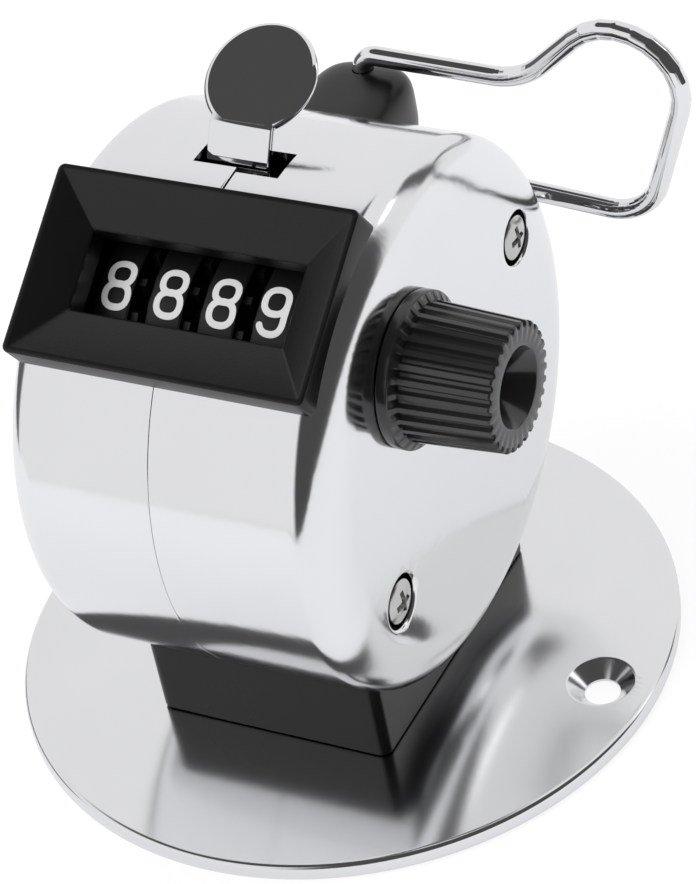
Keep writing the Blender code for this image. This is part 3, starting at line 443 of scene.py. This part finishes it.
def rounded_path(corners, radii, steps=10):
    """Straight runs with an arc at each inner corner.

    An arc's middle lies on the corner's bisector, at its radius over the cosine of half the bend.
    """
    stretches = [corners[0][None]]
    for before, corner, after, radius in zip(corners, corners[1:], corners[2:], radii):
        into = (corner - before) / np.linalg.norm(corner - before)
        out = (after - corner) / np.linalg.norm(after - corner)
        bend = math.acos(np.clip(into @ out, -1, 1))
        inward = (out - into) / np.linalg.norm(out - into)
        middle = corner + inward * radius / math.cos(bend / 2)
        angle = np.linspace(-bend / 2, bend / 2, steps + 1)[:, None]
        along = (into + out) / np.linalg.norm(into + out)
        stretches.append(middle + radius * (np.sin(angle) * along - np.cos(angle) * inward))
    stretches.append(corners[-1][None])
    path = np.concatenate(stretches)
    step = np.linalg.norm(np.diff(path, axis=0), axis=1)
    place = np.concatenate([[0], np.cumsum(step)])
    even = np.linspace(0, place[-1], 12 * len(path))
    keep = np.unique(np.concatenate([place, even]).round(9))
    return np.stack([np.interp(keep, place, path[:, k]) for k in range(3)], 1)


def shoulder_curve(radius, half, across, count, wall=0.0):
    """A quarter ellipse from the casing's face to its barrel, set in by a wall."""
    along = sizes().fillet
    curve = arc((0, 0), 1, 90, 0, count) * (across - wall, along - wall)
    return curve + (radius - across, half - along)


def casing_form(grow):
    """The casing's outer form as one turned solid, grown all round."""
    radius, half = CASING_RADIUS + grow, CASING_HALF + grow
    right = shoulder_curve(radius, half, sizes().shoulder, 16)
    profile = chain([(0, half)], right, right[::-1] * (1, -1), [(0, -half)])
    return turned(profile, CASING_MIDDLE, X)


def display_turn():
    """Columns are the display's own axes: across, up its slope, and out of it."""
    lean = sizes().tilt
    return np.array([[1, 0, 0], [0, math.cos(lean), -math.sin(lean)], [0, math.sin(lean), math.cos(lean)]])


def end_middle(name):
    """A node's length along X, and the middle of its low end."""
    low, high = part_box(name)
    return high[0] - low[0], np.array([low[0], (low[1] + high[1]) / 2, (low[2] + high[2]) / 2])


class COUNTER_OT_plate(bpy.types.Operator):
    """Turns the round base plate, with its rolled edge and countersunk mounting holes"""

    bl_idname = "counter.plate"
    bl_label = "Base plate"

    def execute(self, context):
        """The profile is the flat top, two arcs at the edge and the flat bottom, turned about Z."""
        radius, _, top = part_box("base_plate")[1]
        roll, burr, support, spread = 0.45 * MM, 0.15 * MM, 0.1 * MM, 25 * MM
        rim = arc((radius - roll, top - roll), roll, 90, 0, 6)
        foot = arc((radius - burr, burr), burr, 0, -90, 3)
        profile = chain([(0, top), (radius - roll - support, top)], rim, foot, [(0, 0)])
        cone, soft, bore, depth = 3.15 * MM, 0.3 * MM, 1.6 * MM, 1.3 * MM
        sink = chain([(0, top + MM), (cone + MM, top + MM), (cone, top)],
                     arc((cone, top - soft), soft, 90, 135, 3),
                     [(bore, top - depth), (bore, -MM), (0, -MM)])
        holes = [loose("mount_hole", turned(sink, (way * spread, 0, 0), Z, 96)) for way in (-1, 1)]
        piece("plate", [turned(profile, (0, 0, 0), Z, 320)], plate_chrome(), "stand", ["base_plate"],
              holes)
        return {"FINISHED"}


class COUNTER_OT_foot(bpy.types.Operator):
    """Moulds the black foot block, hollowed on top to seat the casing"""

    bl_idname = "counter.foot"
    bl_label = "Foot block"

    def execute(self, context):
        """Rounded rectangles, set in near the bottom and the top, stacked as a tube."""
        low, high = (np.array(corner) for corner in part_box("foot_block"))
        sunk, corner = 0.25 * MM, 1.0 * MM
        low -= (FOOT_LEFT, 0, sunk)
        half, middle = (high - low) / 2, (high + low) / 2
        edge = np.array([0.3, 0.09, 0]) * MM
        inset = np.concatenate([edge, edge[::-1]])
        level = np.concatenate([low[2] + edge[::-1], high[2] - edge])
        loops = [rounded_rectangle(half[0] - step, half[1] - step, corner) for step in inset]
        rings = np.stack([np.column_stack([loop + middle[:2], np.full(len(loop), up)])
                          for loop, up in zip(loops, level)])
        piece("foot", [(rings, False, True)], plastic(), "stand", ["foot_block"],
              [loose("saddle", casing_form(sizes().seat_gap))])
        return {"FINISHED"}


class COUNTER_OT_casing(bpy.types.Operator):
    """Turns the casing's two drawn cups, with screw dimples, the lever's slot and the display's opening"""

    bl_idname = "counter.casing"
    bl_label = "Casing"

    def execute(self, context):
        gap = sizes().seam_gap / 2
        left = self.cup(-1, gap - SEAM, CASING_HALF + CUP_LEFT, LEFT_SHOULDER)
        right = self.cup(1, gap + SEAM, CASING_HALF, sizes().shoulder)
        piece("cup_left", [left], chrome(), "stand", ["casing_left"], self.openings())
        piece("cup_right", [right], chrome(), "stand", ["casing_right"],
              self.openings() + self.dimples())
        return {"FINISHED"}

    def cup(self, way, seam, half, across):
        """Both walls of one cup: a face, a round edge and a barrel, turned about the casing's axis."""
        wall, support, roll = sizes().wall, 0.15 * MM, 0.05 * MM
        outer = shoulder_curve(CASING_RADIUS, half, across, 28)
        inner = shoulder_curve(CASING_RADIUS, half, across, 8, wall)[::-1]
        lip = arc((CASING_RADIUS - roll, seam + roll), roll, 0, -90, 3)
        face = np.linspace(0, outer[0, 0] - support, 16)
        barrel = np.linspace(outer[-1, 1] - support, seam + roll + support, 18)
        profile = chain(np.column_stack([face, np.full(len(face), half)]), outer,
                        np.column_stack([np.full(len(barrel), CASING_RADIUS), barrel]), lip,
                        [(CASING_RADIUS - wall, seam)], inner, [(0, half - wall)])
        return turned(profile, CASING_MIDDLE, way * X, 320)

    def openings(self):
        """Cutters for the display's neck, the lever's slot, stepped at the seam, and the slit before it."""
        wide, tall, inner, outer = 11.7 * MM, 5.3 * MM, 4 * MM, 16 * MM
        opening = block((-wide, -tall, inner), (wide, tall, outer), display_turn(), WHEEL_AXIS)
        base, top = LEVER_AXIS[2], CASING_TOP + MM
        left, right, back = LEVER_X - 3.2 * MM, LEVER_X + 5.08 * MM, 2.85 * MM
        front_left, front_right, slit_front = -0.12 * MM, -0.7 * MM, -7 * MM
        overlap, slit = 0.02 * MM, 0.22 * MM
        cuts = {
            "display_opening": opening,
            "slot_left": block((left, front_left, base), (SEAM, back, top)),
            "slot_right": block((SEAM - overlap, front_right, base), (right, back, top)),
            "slit": block((SEAM - overlap, slit_front, base), (SEAM + slit, 0, top)),
        }
        return [loose(name, cut) for name, cut in cuts.items()]

    def dimples(self):
        """Cutters for the two screw dimples, soft at the lip, and the shaft's hole."""
        radius, depth = sizes().recess_radius, sizes().recess_depth
        lip, flare, shaft, reach = 0.3 * MM, 0.6 * MM, 1.9 * MM, 2 * MM
        profile = chain([(0, MM), (radius + lip + flare, MM), (radius + lip, 0)],
                        arc((radius + lip, -lip), lip, 90, 180, 4), [(radius, -depth), (0, -depth)])
        cutters = []
        for name in ("casing_screw_upper", "casing_screw_lower"):
            _, spot = end_middle(name)
            spot[0] = CASING_HALF
            cutters.append(loose("dimple", turned(profile, spot, X, 96)))
        hole = np.array([(0, reach), (shaft, reach), (shaft, -reach), (0, -reach)])
        cutters.append(loose("shaft_hole", turned(hole, (CASING_HALF, *WHEEL_AXIS[1:]), X, 64)))
        return cutters


class COUNTER_OT_screws(bpy.types.Operator):
    """Turns the cross-recess screws in the casing's face and in the knob's end"""

    bl_idname = "counter.screws"
    bl_label = "Screws"

    def execute(self, context):
        self.screw("casing_screw_upper", 1.95 * MM, "stand")
        self.screw("casing_screw_lower", 1.95 * MM, "stand")
        self.screw("knob_screw", 1.7 * MM, "reset")
        return {"FINISHED"}

    def screw(self, name, head, body):
        """A low dome, part of an ellipse, on a plain shank, with a tapered cross sunk into it."""
        top, tip = end_middle(name)
        rise, dome_end, thick, soft = 0.62 * MM, 22, 0.9 * MM, 0.1 * MM
        seat, shank = top - thick, head * 0.62
        dome = arc((0, 0), 1, 90, dome_end, 12) * (head / math.cos(math.radians(dome_end)), rise)
        dome[:, 1] += top - rise
        profile = chain(dome, [(head, seat + soft), (head - soft, seat), (shank, seat), (shank, 0), (0, 0)])
        square = np.array([(-1, -1), (1, -1), (1, 1), (-1, 1)])
        long, thin = head * 0.62, 0.3 * MM
        floor, mouth = (-0.85 * MM, 0.55), (0.2 * MM, 1.1)
        cutters = []
        for arm in ((long, thin), (thin, long)):
            rings = np.stack([np.column_stack([np.full(4, tip[0] + top + up),
                                               tip[1:] + square * arm * share])
                              for up, share in (floor, mouth)])
            cutters.append(loose("cross", (rings, False, True)))
        piece("dressed_" + name, [turned(profile, tip, X, 96)], steel(), body, [name], cutters)


class COUNTER_OT_bezel(bpy.types.Operator):
    """Moulds the display's black bezel: a skirt, a narrow rim, a sloping well and a window neck"""

    bl_idname = "counter.bezel"
    bl_label = "Display bezel"

    # Half width and half height of the rim's outside, of the window and of the neck's outside.
    rim_half = np.array([13.8, 8.3]) * MM
    window_half = np.array([9.9, 3.5]) * MM
    neck_half = np.array([11.4, 5.0]) * MM

    def execute(self, context):
        """Each row: half sizes, height above the wheels' axis or None for the barrel, and corner radius."""
        rim = sizes().bezel_height
        ledge = rim - sizes().window_drop
        roll, neck_end, joint, slack = 0.14 * MM, 10.9 * MM, 0.4 * MM, 0.02 * MM
        wide, fine, tight = 0.6 * MM, 0.2 * MM, 0.1 * MM
        rows = [(self.rim_half, None, wide)]
        rows += [(self.rim_half + a, rim + b, wide) for a, b in arc((-roll, -roll), roll, 0, 90, 3)]
        rows += [(self.rim_half - inset * MM, rim - drop * MM, fine)
                 for inset, drop in ((0.46, 0), (0.53, 0.02), (0.6, 0.06))]
        rows += [(self.window_half + inset * MM, ledge + up * MM, corner * MM)
                 for inset, up, corner in ((0.18, 0.04, 0.12), (0.12, -0.01, 0.1), (0, -0.16, 0.1))]
        rows += [(self.window_half, ledge - joint, tight), (self.neck_half, ledge - joint, fine),
                 (self.neck_half, None, fine)]
        self.ring("bezel", rows, plastic(), ["display_bezel"])
        inside, outside = self.window_half + slack / 2, self.neck_half - slack
        meet = ledge - joint + slack
        neck = [(inside, meet, tight), (inside, neck_end, tight), (outside, neck_end, fine),
                (outside, meet, fine)]
        self.ring("bezel_neck", neck, wheel_black())
        return {"FINISHED"}

    def ring(self, name, rows, material, nodes=()):
        """A closed frame: a rounded rectangle for each row, joined row to row."""
        loops = []
        for half, level, corner in rows:
            flat = rounded_rectangle(*half, corner, 40, 5)
            up = self.seat(flat) if level is None else np.full(len(flat), level)
            flat[:, 0] -= (half[0] > 13 * MM) * (flat[:, 0] < 0) * BEZEL_LEFT
            loops.append(np.column_stack([flat, up]))
        points = np.stack(loops, 1) @ display_turn().T + WHEEL_AXIS
        piece(name, [(points, True, True)], material, "stand", nodes, sharp=24)

    def seat(self, flat):
        """Height of the barrel under the display: its circle about the casing's axis, plus the seat gap."""
        centre = (CASING_MIDDLE - WHEEL_AXIS) @ display_turn()
        radius = CASING_RADIUS + sizes().seat_gap
        return centre[2] + np.sqrt(radius ** 2 - (flat[:, 1] - centre[1]) ** 2)


class COUNTER_OT_wheels(bpy.types.Operator):
    """Lays a smooth black band and the printed digits round each number wheel"""

    bl_idname = "counter.wheels"
    bl_label = "Number wheels"

    def execute(self, context):
        white = finish("printed_white", colours().digit, worn=0.9, roughness=0.5, spread=0.1,
                       scale=900, grain=5000, bump=0.03)
        for body, digit in SHOWN.items():
            low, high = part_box(body + "_wheel")
            proud = 0.01 * MM
            inset = 1.6 * MM if body == "thousands" else 2.3 * MM
            aside = -0.1 * MM if body == "units" else 0.2 * MM
            radius, middle = (high[2] - low[2]) / 2 + proud, low[0] + inset
            self.band(body, middle, radius)
            strokes = []
            for value in range(10):
                lean = FIRST_DIGIT_ANGLE - (value - digit) * DIGIT_STEP
                strokes += [self.stroke(path, loop, middle + aside, lean, radius)
                            for path, loop in digit_paths(value)]
            piece("digits_" + body, strokes, white, body)
        return {"FINISHED"}

    def band(self, body, middle, radius):
        """A thin sleeve with rounded edges, turned about the wheels' axis."""
        half, roll, thick = 1.62 * MM, 0.2 * MM, 0.5 * MM
        right = arc((radius - roll, half - roll), roll, 90, 0, 4)
        profile = chain(right, right[::-1] * (1, -1), [(radius - thick, -half), (radius - thick, half)])
        piece("band_" + body, [turned(profile, (middle, *WHEEL_AXIS[1:]), X, 160, True)], wheel_black(),
              body)

    def stroke(self, path, loop, middle, lean, radius):
        """A ribbon of even width along a path, with round ends, bent round the wheel as a thin print.

        Its height on the print over the wheel's radius is the angle that it is turned by.
        """
        half = sizes().digit_stroke / 2
        path = path * sizes().digit_height
        width = np.full(len(path), half)
        if not loop:
            ahead, behind = path[-1] - path[-2], path[0] - path[1]
            cap = np.radians([20, 40, 60, 78])
            start = path[0] + behind / np.linalg.norm(behind) * half * np.sin(cap)[::-1, None]
            end = path[-1] + ahead / np.linalg.norm(ahead) * half * np.sin(cap)[:, None]
            path = np.concatenate([start, path, end])
            width = np.concatenate([half * np.cos(cap)[::-1], width, half * np.cos(cap)])
        along = np.roll(path, -1, 0) - np.roll(path, 1, 0) if loop else np.gradient(path, axis=0)
        along /= np.linalg.norm(along, axis=1)[:, None]
        normal = np.stack([-along[:, 1], along[:, 0]], 1)
        side = np.array([-1, 1, 1, -1])
        rise = np.array([0.025, 0.025, -0.03, -0.03]) * MM
        flat = path[:, None, :] + normal[:, None, :] * (width[:, None] * side)[..., None]
        angle = lean + flat[..., 1] / radius
        reach = radius + rise
        _, up, out = display_turn().T
        points = (middle * X + WHEEL_AXIS * (0, 1, 1) + flat[..., :1] * X
                  + (reach * np.cos(angle))[..., None] * out + (reach * np.sin(angle))[..., None] * up)
        return points, loop, True


def oval(middle, half_x, half_y, start=0.0, end=360.0, count=40):
    """Points on an ellipse with fuller corners: each coordinate of the unit circle to the power 0.85."""
    unit = arc((0, 0), 1, start, end, count)
    return np.sign(unit) * np.abs(unit) ** 0.85 * (half_x, half_y) + middle


def run(*corners, count=12):
    """Straight runs, one ribbon each, between corners."""
    return [(np.linspace(a, b, count), False) for a, b in zip(corners, corners[1:])]


def digit_paths(value):
    """Centre lines of a plain numeral, one high: ovals, arcs and straight runs, and whether each closes."""
    ring = oval((0, 0), 0.235, 0.42)[:-1]
    tail = np.concatenate([np.linspace((0.235, 0.17), (0.235, -0.18), 8)[:-1],
                           oval((0, -0.18), 0.235, 0.25, 0, -158, 24)])
    nine = [(oval((0, 0.19), 0.235, 0.24)[:-1], True), (tail, False)]
    table = {
        0: [(ring, True)],
        1: run((0.04, -0.42), (0.04, 0.42)) + run((0.04, 0.42), (-0.14, 0.28)),
        2: [(oval((0, 0.19), 0.22, 0.235, 165, -35, 24), False)]
           + run((0.18, 0.055), (-0.22, -0.42), (0.24, -0.42)),
        3: [(oval((0, 0.21), 0.2, 0.215, 150, -90, 24), False),
            (oval((0, -0.21), 0.225, 0.215, 90, -150, 24), False)],
        4: run((0.1, -0.42), (0.1, 0.42), (-0.25, -0.18), (0.25, -0.18)),
        5: run((0.2, 0.42), (-0.16, 0.42), (-0.19, 0.03))
           + [(oval((0, -0.15), 0.225, 0.27, 140, -140, 28), False)],
        6: [(-path, loop) for path, loop in nine],
        7: run((-0.22, 0.42), (0.23, 0.42), (-0.06, -0.42)),
        8: [(oval((0, 0.215), 0.23, 0.205)[:-1], True), (oval((0, -0.205), 0.24, 0.225)[:-1], True)],
        9: nine,
    }
    return table[value]


class COUNTER_OT_lever(bpy.types.Operator):
    """Bends the thumb lever: a round disc on a neck that runs down through the slot to its hub"""

    bl_idname = "counter.lever"
    bl_label = "Thumb lever"

    def execute(self, context):
        slope, neck_y = math.radians(30), 3.25 * MM
        rise = np.array([0, math.cos(slope), math.sin(slope)])
        bend = np.array([0, neck_y, CASING_TOP + sizes().neck_rise])
        face = np.stack([X, rise, np.cross(X, rise)], 1)
        reach, overlap = 9 * MM, 0.25 * MM
        chord = block((-reach, -reach, -MM), (reach, overlap, MM), face, bend)
        piece("lever_disc", [self.disc(bend, rise)], bright_chrome(), "lever", ["thumb_lever"],
              [loose("chord", chord)])
        piece("lever_neck", [self.neck(bend, rise), self.hub()], bright_chrome(), "lever")
        return {"FINISHED"}

    def disc(self, bend, rise):
        """A flat disc, its edge two quarter ellipses, turned about its own normal."""
        aside, support = 0.25 * MM, 0.1 * MM
        middle = bend + rise * sizes().disc_reach + (LEVER_X + aside) * X
        half, radius = sizes().sheet / 2, sizes().disc_radius
        soft = np.array([0.55, 0.39]) * MM
        edge = arc((0, 0), 1, 90, 0, 10) * soft + (radius - soft[0], half - soft[1])
        profile = chain([(0, half), (radius - soft[0] - support, half)], edge, edge[::-1] * (1, -1),
                        [(0, -half)])
        return turned(profile, middle, np.cross(X, rise), 160)

    def neck(self, bend, rise):
        """A strip of even thickness carried along the neck's bent line."""
        lean, drop, tongue = np.array([0, 0.53, 0.85]), 4.4 * MM, 1.2 * MM
        foot_bend, top_bend = 2.0 * MM, 0.5 * MM
        half_wide, half_thick, edge = 2.95 * MM, sizes().sheet / 2 - 0.01 * MM, 0.2 * MM
        corners = (LEVER_AXIS, bend - drop * lean, bend, bend + rise * tongue)
        path = rounded_path([corner * (0, 1, 1) for corner in corners], (foot_bend, top_bend))
        path = path + LEVER_X * X
        across = np.broadcast_to(X, path.shape)
        section = rounded_rectangle(half_wide, half_thick, edge, 2, 3)
        return swept(path, section, across, np.cross(across, directions(path)))

    def hub(self):
        """A tube round the hinge pin, from the neck's left edge to the solid's right end."""
        start = LEVER_X - 3.17 * MM
        outer, inner, wide = 2.07 * MM, 1.17 * MM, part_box("thumb_lever")[1][0] - start
        profile = np.array([(inner, 0), (inner, wide), (outer, wide), (outer, 0)])
        return turned(profile, (start, *LEVER_AXIS[1:]), X, 64, True)


class COUNTER_OT_ring(bpy.types.Operator):
    """Bends the finger ring's wire and moulds the lug that it hangs in"""

    bl_idname = "counter.ring"
    bl_label = "Finger ring and lug"

    def execute(self, context):
        piece("ring_wire", [self.wire()], bright_chrome(), "ring", ["finger_ring"])
        piece("lug", [self.lug()], plastic(), "stand", ["ring_lug"], self.lug_cutters())
        return {"FINISHED"}

    def wire(self):
        """A round section carried along straight runs and arcs in the ring's upright plane."""
        x, y = RING_AXIS[0] / MM, RING_AXIS[1] / MM
        corners = np.array([(x, y, 42.3), (x, y, 46.9), (12.6, y, 46.4), (34.6, y, 66.5), (23.1, y, 33.7),
                            (x, y, 35.8), (x, y, 40.7)]) * MM
        path = rounded_path(corners, np.array([1.6, 7.0, 5.6, 5.0, 1.5]) * MM)
        side = np.broadcast_to(Y, path.shape)
        section = arc((0, 0), sizes().wire, 0, 345, 23)
        return swept(path, section, side, np.cross(directions(path), side))

    def lug(self):
        """A soft block: a ball whose sines and cosines are each raised to a power below one."""
        low, high = (np.array(corner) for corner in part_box("ring_lug"))
        inward = 12 * MM
        low[1] = RING_AXIS[1] - inward
        half, middle = (high - low) / 2, (high + low) / 2
        polar, turn = np.meshgrid(np.linspace(-np.pi / 2, np.pi / 2, 60),
                                  np.linspace(0, 2 * np.pi, 120, endpoint=False))
        waist, corner, end = 0.45, 0.55, 0.5

        def soft(value, power):
            """The power of a number's size, with its sign kept."""
            return np.sign(value) * np.abs(value) ** power

        width = soft(np.cos(polar), waist)
        ball = np.stack([width * soft(np.cos(turn), corner), width * soft(np.sin(turn), corner),
                         soft(np.sin(polar), end)], 2)
        return ball * half + middle, True, False

    def lug_cutters(self):
        """The casing's form, and the bore that the wire's ends sit in."""
        radius, bottom, top = 0.98 * MM, 30 * MM, 60 * MM
        bore = np.array([(0, top), (radius, top), (radius, bottom), (0, bottom)])
        return [loose("lug_seat", casing_form(sizes().seat_gap)),
                loose("lug_bore", turned(bore, (RING_AXIS[0], RING_AXIS[1], 0), Z, 48))]


class COUNTER_OT_knob(bpy.types.Operator):
    """Turns the reset knob: a plain flange, a tapered grip with flutes and a hollow end"""

    bl_idname = "counter.knob"
    bl_label = "Reset knob"

    flutes = 30
    flute_depth = 0.42 * MM
    steps = flutes * 16

    def execute(self, context):
        """A turned profile whose grip is drawn in by flutes: a clipped cosine of the turn, to a power."""
        low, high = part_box("reset_knob")
        start, long = low[0], high[0] - low[0]
        gap, grip_start, grip_inside = 0.06 * MM, 1.1 * MM, 4.9 * MM
        profile = self.profile(CASING_HALF + gap - start, long)
        points, _, _ = turned(profile, (start, *WHEEL_AXIS[1:]), X, self.steps, True)
        on_grip = (profile[:, 1] > grip_start) & (profile[:, 0] > grip_inside)
        depth = np.where(on_grip, self.flute_depth, 0)
        turn = np.linspace(0, 2 * np.pi, self.steps, endpoint=False)
        groove = np.clip(np.cos(self.flutes * turn) * 1.1 + 0.35, 0, 1) ** 0.7
        radial = (points - WHEEL_AXIS) * (0, 1, 1)
        radial /= np.linalg.norm(radial, axis=2)[..., None]
        points = points - radial * (groove[:, None] * depth)[..., None]
        piece("knob", [(points, True, True)], knob_plastic(), "reset", ["reset_knob"],
              sharp=40)
        return {"FINISHED"}

    def profile(self, back, long):
        """Flange, grip, rolled crown and well, as (radius, height) from the flange's back to the end."""
        flange, wide, narrow, crown, well, bore, hub = np.array([6.55, 5.95, 5.5, 5.3, 3.6, 0.75, 1.7]) * MM
        roll, lip, flange_top, grip_start = np.array([0.15, 0.2, 0.6, 1.2]) * MM
        end, floor = long - roll, long - 3.0 * MM
        taper = np.linspace(grip_start, end, 24)
        grip = np.column_stack([np.interp(taper, [0.9 * MM, long], [wide, narrow]), taper])
        return chain([(hub, back)], arc((flange, back + roll), roll, -90, 0, 4),
                     arc((flange, flange_top), roll, 0, 90, 4), grip, arc((crown, end), roll, 0, 90, 4),
                     [(well, long)], arc((well, long - lip), lip, 90, 150, 4),
                     [(1.95 * MM, long - 2.7 * MM), (1.85 * MM, floor), (bore, floor),
                      (bore, long - 4.2 * MM), (hub, long - 4.3 * MM)])


class COUNTER_OT_inside(bpy.types.Operator):
    """Gives the solids that stay in view, mostly inside, their finishes"""

    bl_idname = "counter.inside"
    bl_label = "Inner pieces"

    def execute(self, context):
        finishes = {
            "steel": steel(),
            "brass": finish("plain_brass", colours().brass, worn=0.85, roughness=0.3, spread=0.1,
                            scale=300, grain=2000, bump=0.03, metallic=1.0),
            # Near-black so that the carry pinions seen between the wheels read as the gaps' shade: painted shade.
            "nylon": finish("dark_nylon", colours().nylon, worn=0.94, roughness=0.45, spread=0.08,
                            scale=300, grain=2000, bump=0.03),
            "wheel_plastic": wheel_black(),
            "chrome": chrome(),
            "black_plastic": plastic(),
        }
        for part in frame["record"]["subparts"]:
            mesh = frame["nodes"][part["node"]].data
            mesh.materials.clear()
            mesh.materials.append(finishes[part["material_slot"]])
        return {"FINISHED"}


class COUNTER_OT_stage(bpy.types.Operator):
    """Sets the camera, the floor, the lamps and the studio's surroundings"""

    bl_idname = "counter.stage"
    bl_label = "Stage"

    def execute(self, context):
        scene = context.scene
        scene.view_settings.view_transform = "Standard"
        self.camera(scene)
        self.floor()
        self.world(scene)
        for name, spot, size, power, mirrored in LAMPS:
            self.lamp(scene, name, np.array(spot), size, power, mirrored)
        return {"FINISHED"}

    def placed(self, scene, item, side, up, spot):
        """Puts a camera or lamp at a spot, looking against the cross product of its side and up."""
        axes = np.eye(4)
        axes[:3] = np.stack([side, up, np.cross(side, up), spot], 1)
        item.matrix_world = Matrix(axes)
        scene.collection.objects.link(item)

    def camera(self, scene):
        """A long lens at the photograph's angle; the roll is part of its axes."""
        data = bpy.data.cameras.new("view")
        data.sensor_fit = "VERTICAL"
        data.sensor_height = SENSOR
        data.lens = LENS
        data.clip_start = 0.01
        item = bpy.data.objects.new("view", data)
        self.placed(scene, item, CAMERA_RIGHT, -CAMERA_DOWN, CAMERA_SPOT)
        scene.camera = item

    def floor(self):
        """A pale table top, white to the camera and a little darker in metal, that keeps its shadow."""
        near, far, glow_share = -0.15, 0.33, 0.8
        corners = np.array([[(near, near, 0), (near, far, 0)], [(far, near, 0), (far, far, 0)]])
        item = loose("floor", (corners, False, False))
        material = bpy.data.materials.new("studio_floor")
        material.use_nodes = True
        tree = material.node_tree
        shader = tree.nodes["Principled BSDF"]
        shader.inputs["Base Color"].default_value = (*colours().floor, 1)
        shader.inputs["Roughness"].default_value = 0.9
        shader.inputs["Specular IOR Level"].default_value = 0.0
        path = tree.nodes.new("ShaderNodeLightPath").outputs
        glow = tree.nodes.new("ShaderNodeEmission")
        tone = mix_node(tree, path["Is Glossy Ray"], (1, 1, 1, 1), (0.80, 0.81, 0.83, 1), "RGBA")
        tree.links.new(tone, glow.inputs["Color"])
        seen = math_node(tree, "MAXIMUM", path["Is Camera Ray"], path["Is Glossy Ray"])
        mix = tree.nodes.new("ShaderNodeMixShader")
        tree.links.new(math_node(tree, "MULTIPLY", seen, glow_share), mix.inputs["Fac"])
        tree.links.new(shader.outputs["BSDF"], mix.inputs[1])
        tree.links.new(glow.outputs["Emission"], mix.inputs[2])
        tree.links.new(mix.outputs["Shader"], tree.nodes["Material Output"].inputs["Surface"])
        item.data.materials.append(material)

    def world(self, scene):
        """A pale room with dark cards, white to the camera. A card's mask multiplies four smooth steps."""
        world = bpy.data.worlds.new("studio")
        scene.world = world
        world.use_nodes = True
        tree = world.node_tree
        parts = tree.nodes.new("ShaderNodeSeparateXYZ")
        tree.links.new(tree.nodes.new("ShaderNodeTexCoord").outputs["Generated"], parts.inputs["Vector"])
        ahead = math_node(tree, "MULTIPLY", parts.outputs["Y"], -1.0)
        bearing = math_node(tree, "ARCTAN2", parts.outputs["X"], ahead)
        height = parts.outputs["Z"]
        total = self.ramp(tree, height, HORIZON, ROOM_LEVELS)
        for (left, right), (low, high), level in CARDS:
            mask = self.edge(tree, bearing, np.radians(left))
            for value, span in ((bearing, np.radians(right)), (height, np.sin(np.radians(low))),
                                (height, np.sin(np.radians(high)))):
                mask = math_node(tree, "MULTIPLY", mask, self.edge(tree, value, span))
            total = mix_node(tree, mask, total, level)
        camera = tree.nodes.new("ShaderNodeLightPath").outputs["Is Camera Ray"]
        background = tree.nodes["Background"]
        tree.links.new(mix_node(tree, camera, total, 1.0), background.inputs["Color"])
        background.inputs["Strength"].default_value = 1.0

    def edge(self, tree, value, span):
        """A step from 0 at the span's first end to 1 at its second."""
        return self.ramp(tree, value, sorted(span), (1.0, 0.0) if span[0] > span[1] else (0.0, 1.0))

    def ramp(self, tree, value, span, levels):
        """A smooth step of a value, from one level to another over a span."""
        step = tree.nodes.new("ShaderNodeMapRange")
        step.interpolation_type = "SMOOTHSTEP"
        step.inputs["From Min"].default_value, step.inputs["From Max"].default_value = span
        step.inputs["To Min"].default_value, step.inputs["To Max"].default_value = levels
        tree.links.new(value, step.inputs["Value"])
        return step.outputs["Result"]

    def lamp(self, scene, name, spot, size, power, mirrored):
        """A square soft lamp that faces the object, and that metal shows or doesn't."""
        data = bpy.data.lights.new(name, "AREA")
        data.size = size
        data.energy = power
        item = bpy.data.objects.new(name, data)
        item.visible_glossy = mirrored
        back = spot - LAMPS_AIM
        back /= np.linalg.norm(back)
        side = np.cross(Z, back)
        side /= np.linalg.norm(side)
        self.placed(scene, item, side, np.cross(back, side), spot)


class COUNTER_PT_panel(bpy.types.Panel):
    """Lists the counter's pieces, sizes and colours"""

    bl_idname = "COUNTER_PT_panel"
    bl_label = "Tally counter"
    bl_space_type = "VIEW_3D"
    bl_region_type = "UI"
    bl_category = "Counter"

    def draw(self, context):
        for step in STEPS:
            self.layout.operator(step.bl_idname)
        for group in (context.scene.counter_sizes, context.scene.counter_colours):
            for key in group.__annotations__:
                self.layout.prop(group, key)


STEPS = (
    COUNTER_OT_inside,
    COUNTER_OT_plate,
    COUNTER_OT_foot,
    COUNTER_OT_casing,
    COUNTER_OT_screws,
    COUNTER_OT_bezel,
    COUNTER_OT_wheels,
    COUNTER_OT_lever,
    COUNTER_OT_ring,
    COUNTER_OT_knob,
    COUNTER_OT_stage,
)
CLASSES = (CounterSizes, CounterColours, *STEPS, COUNTER_PT_panel)


def register():
    for item in CLASSES:
        bpy.utils.register_class(item)
    bpy.types.Scene.counter_sizes = PointerProperty(type=CounterSizes)
    bpy.types.Scene.counter_colours = PointerProperty(type=CounterColours)


def unregister():
    del bpy.types.Scene.counter_colours
    del bpy.types.Scene.counter_sizes
    for item in reversed(CLASSES):
        bpy.utils.unregister_class(item)


def main():
    register()
    for step in STEPS:
        group, name = step.bl_idname.split(".")
        getattr(getattr(bpy.ops, group), name)()


if __name__ == "__main__":
    main()
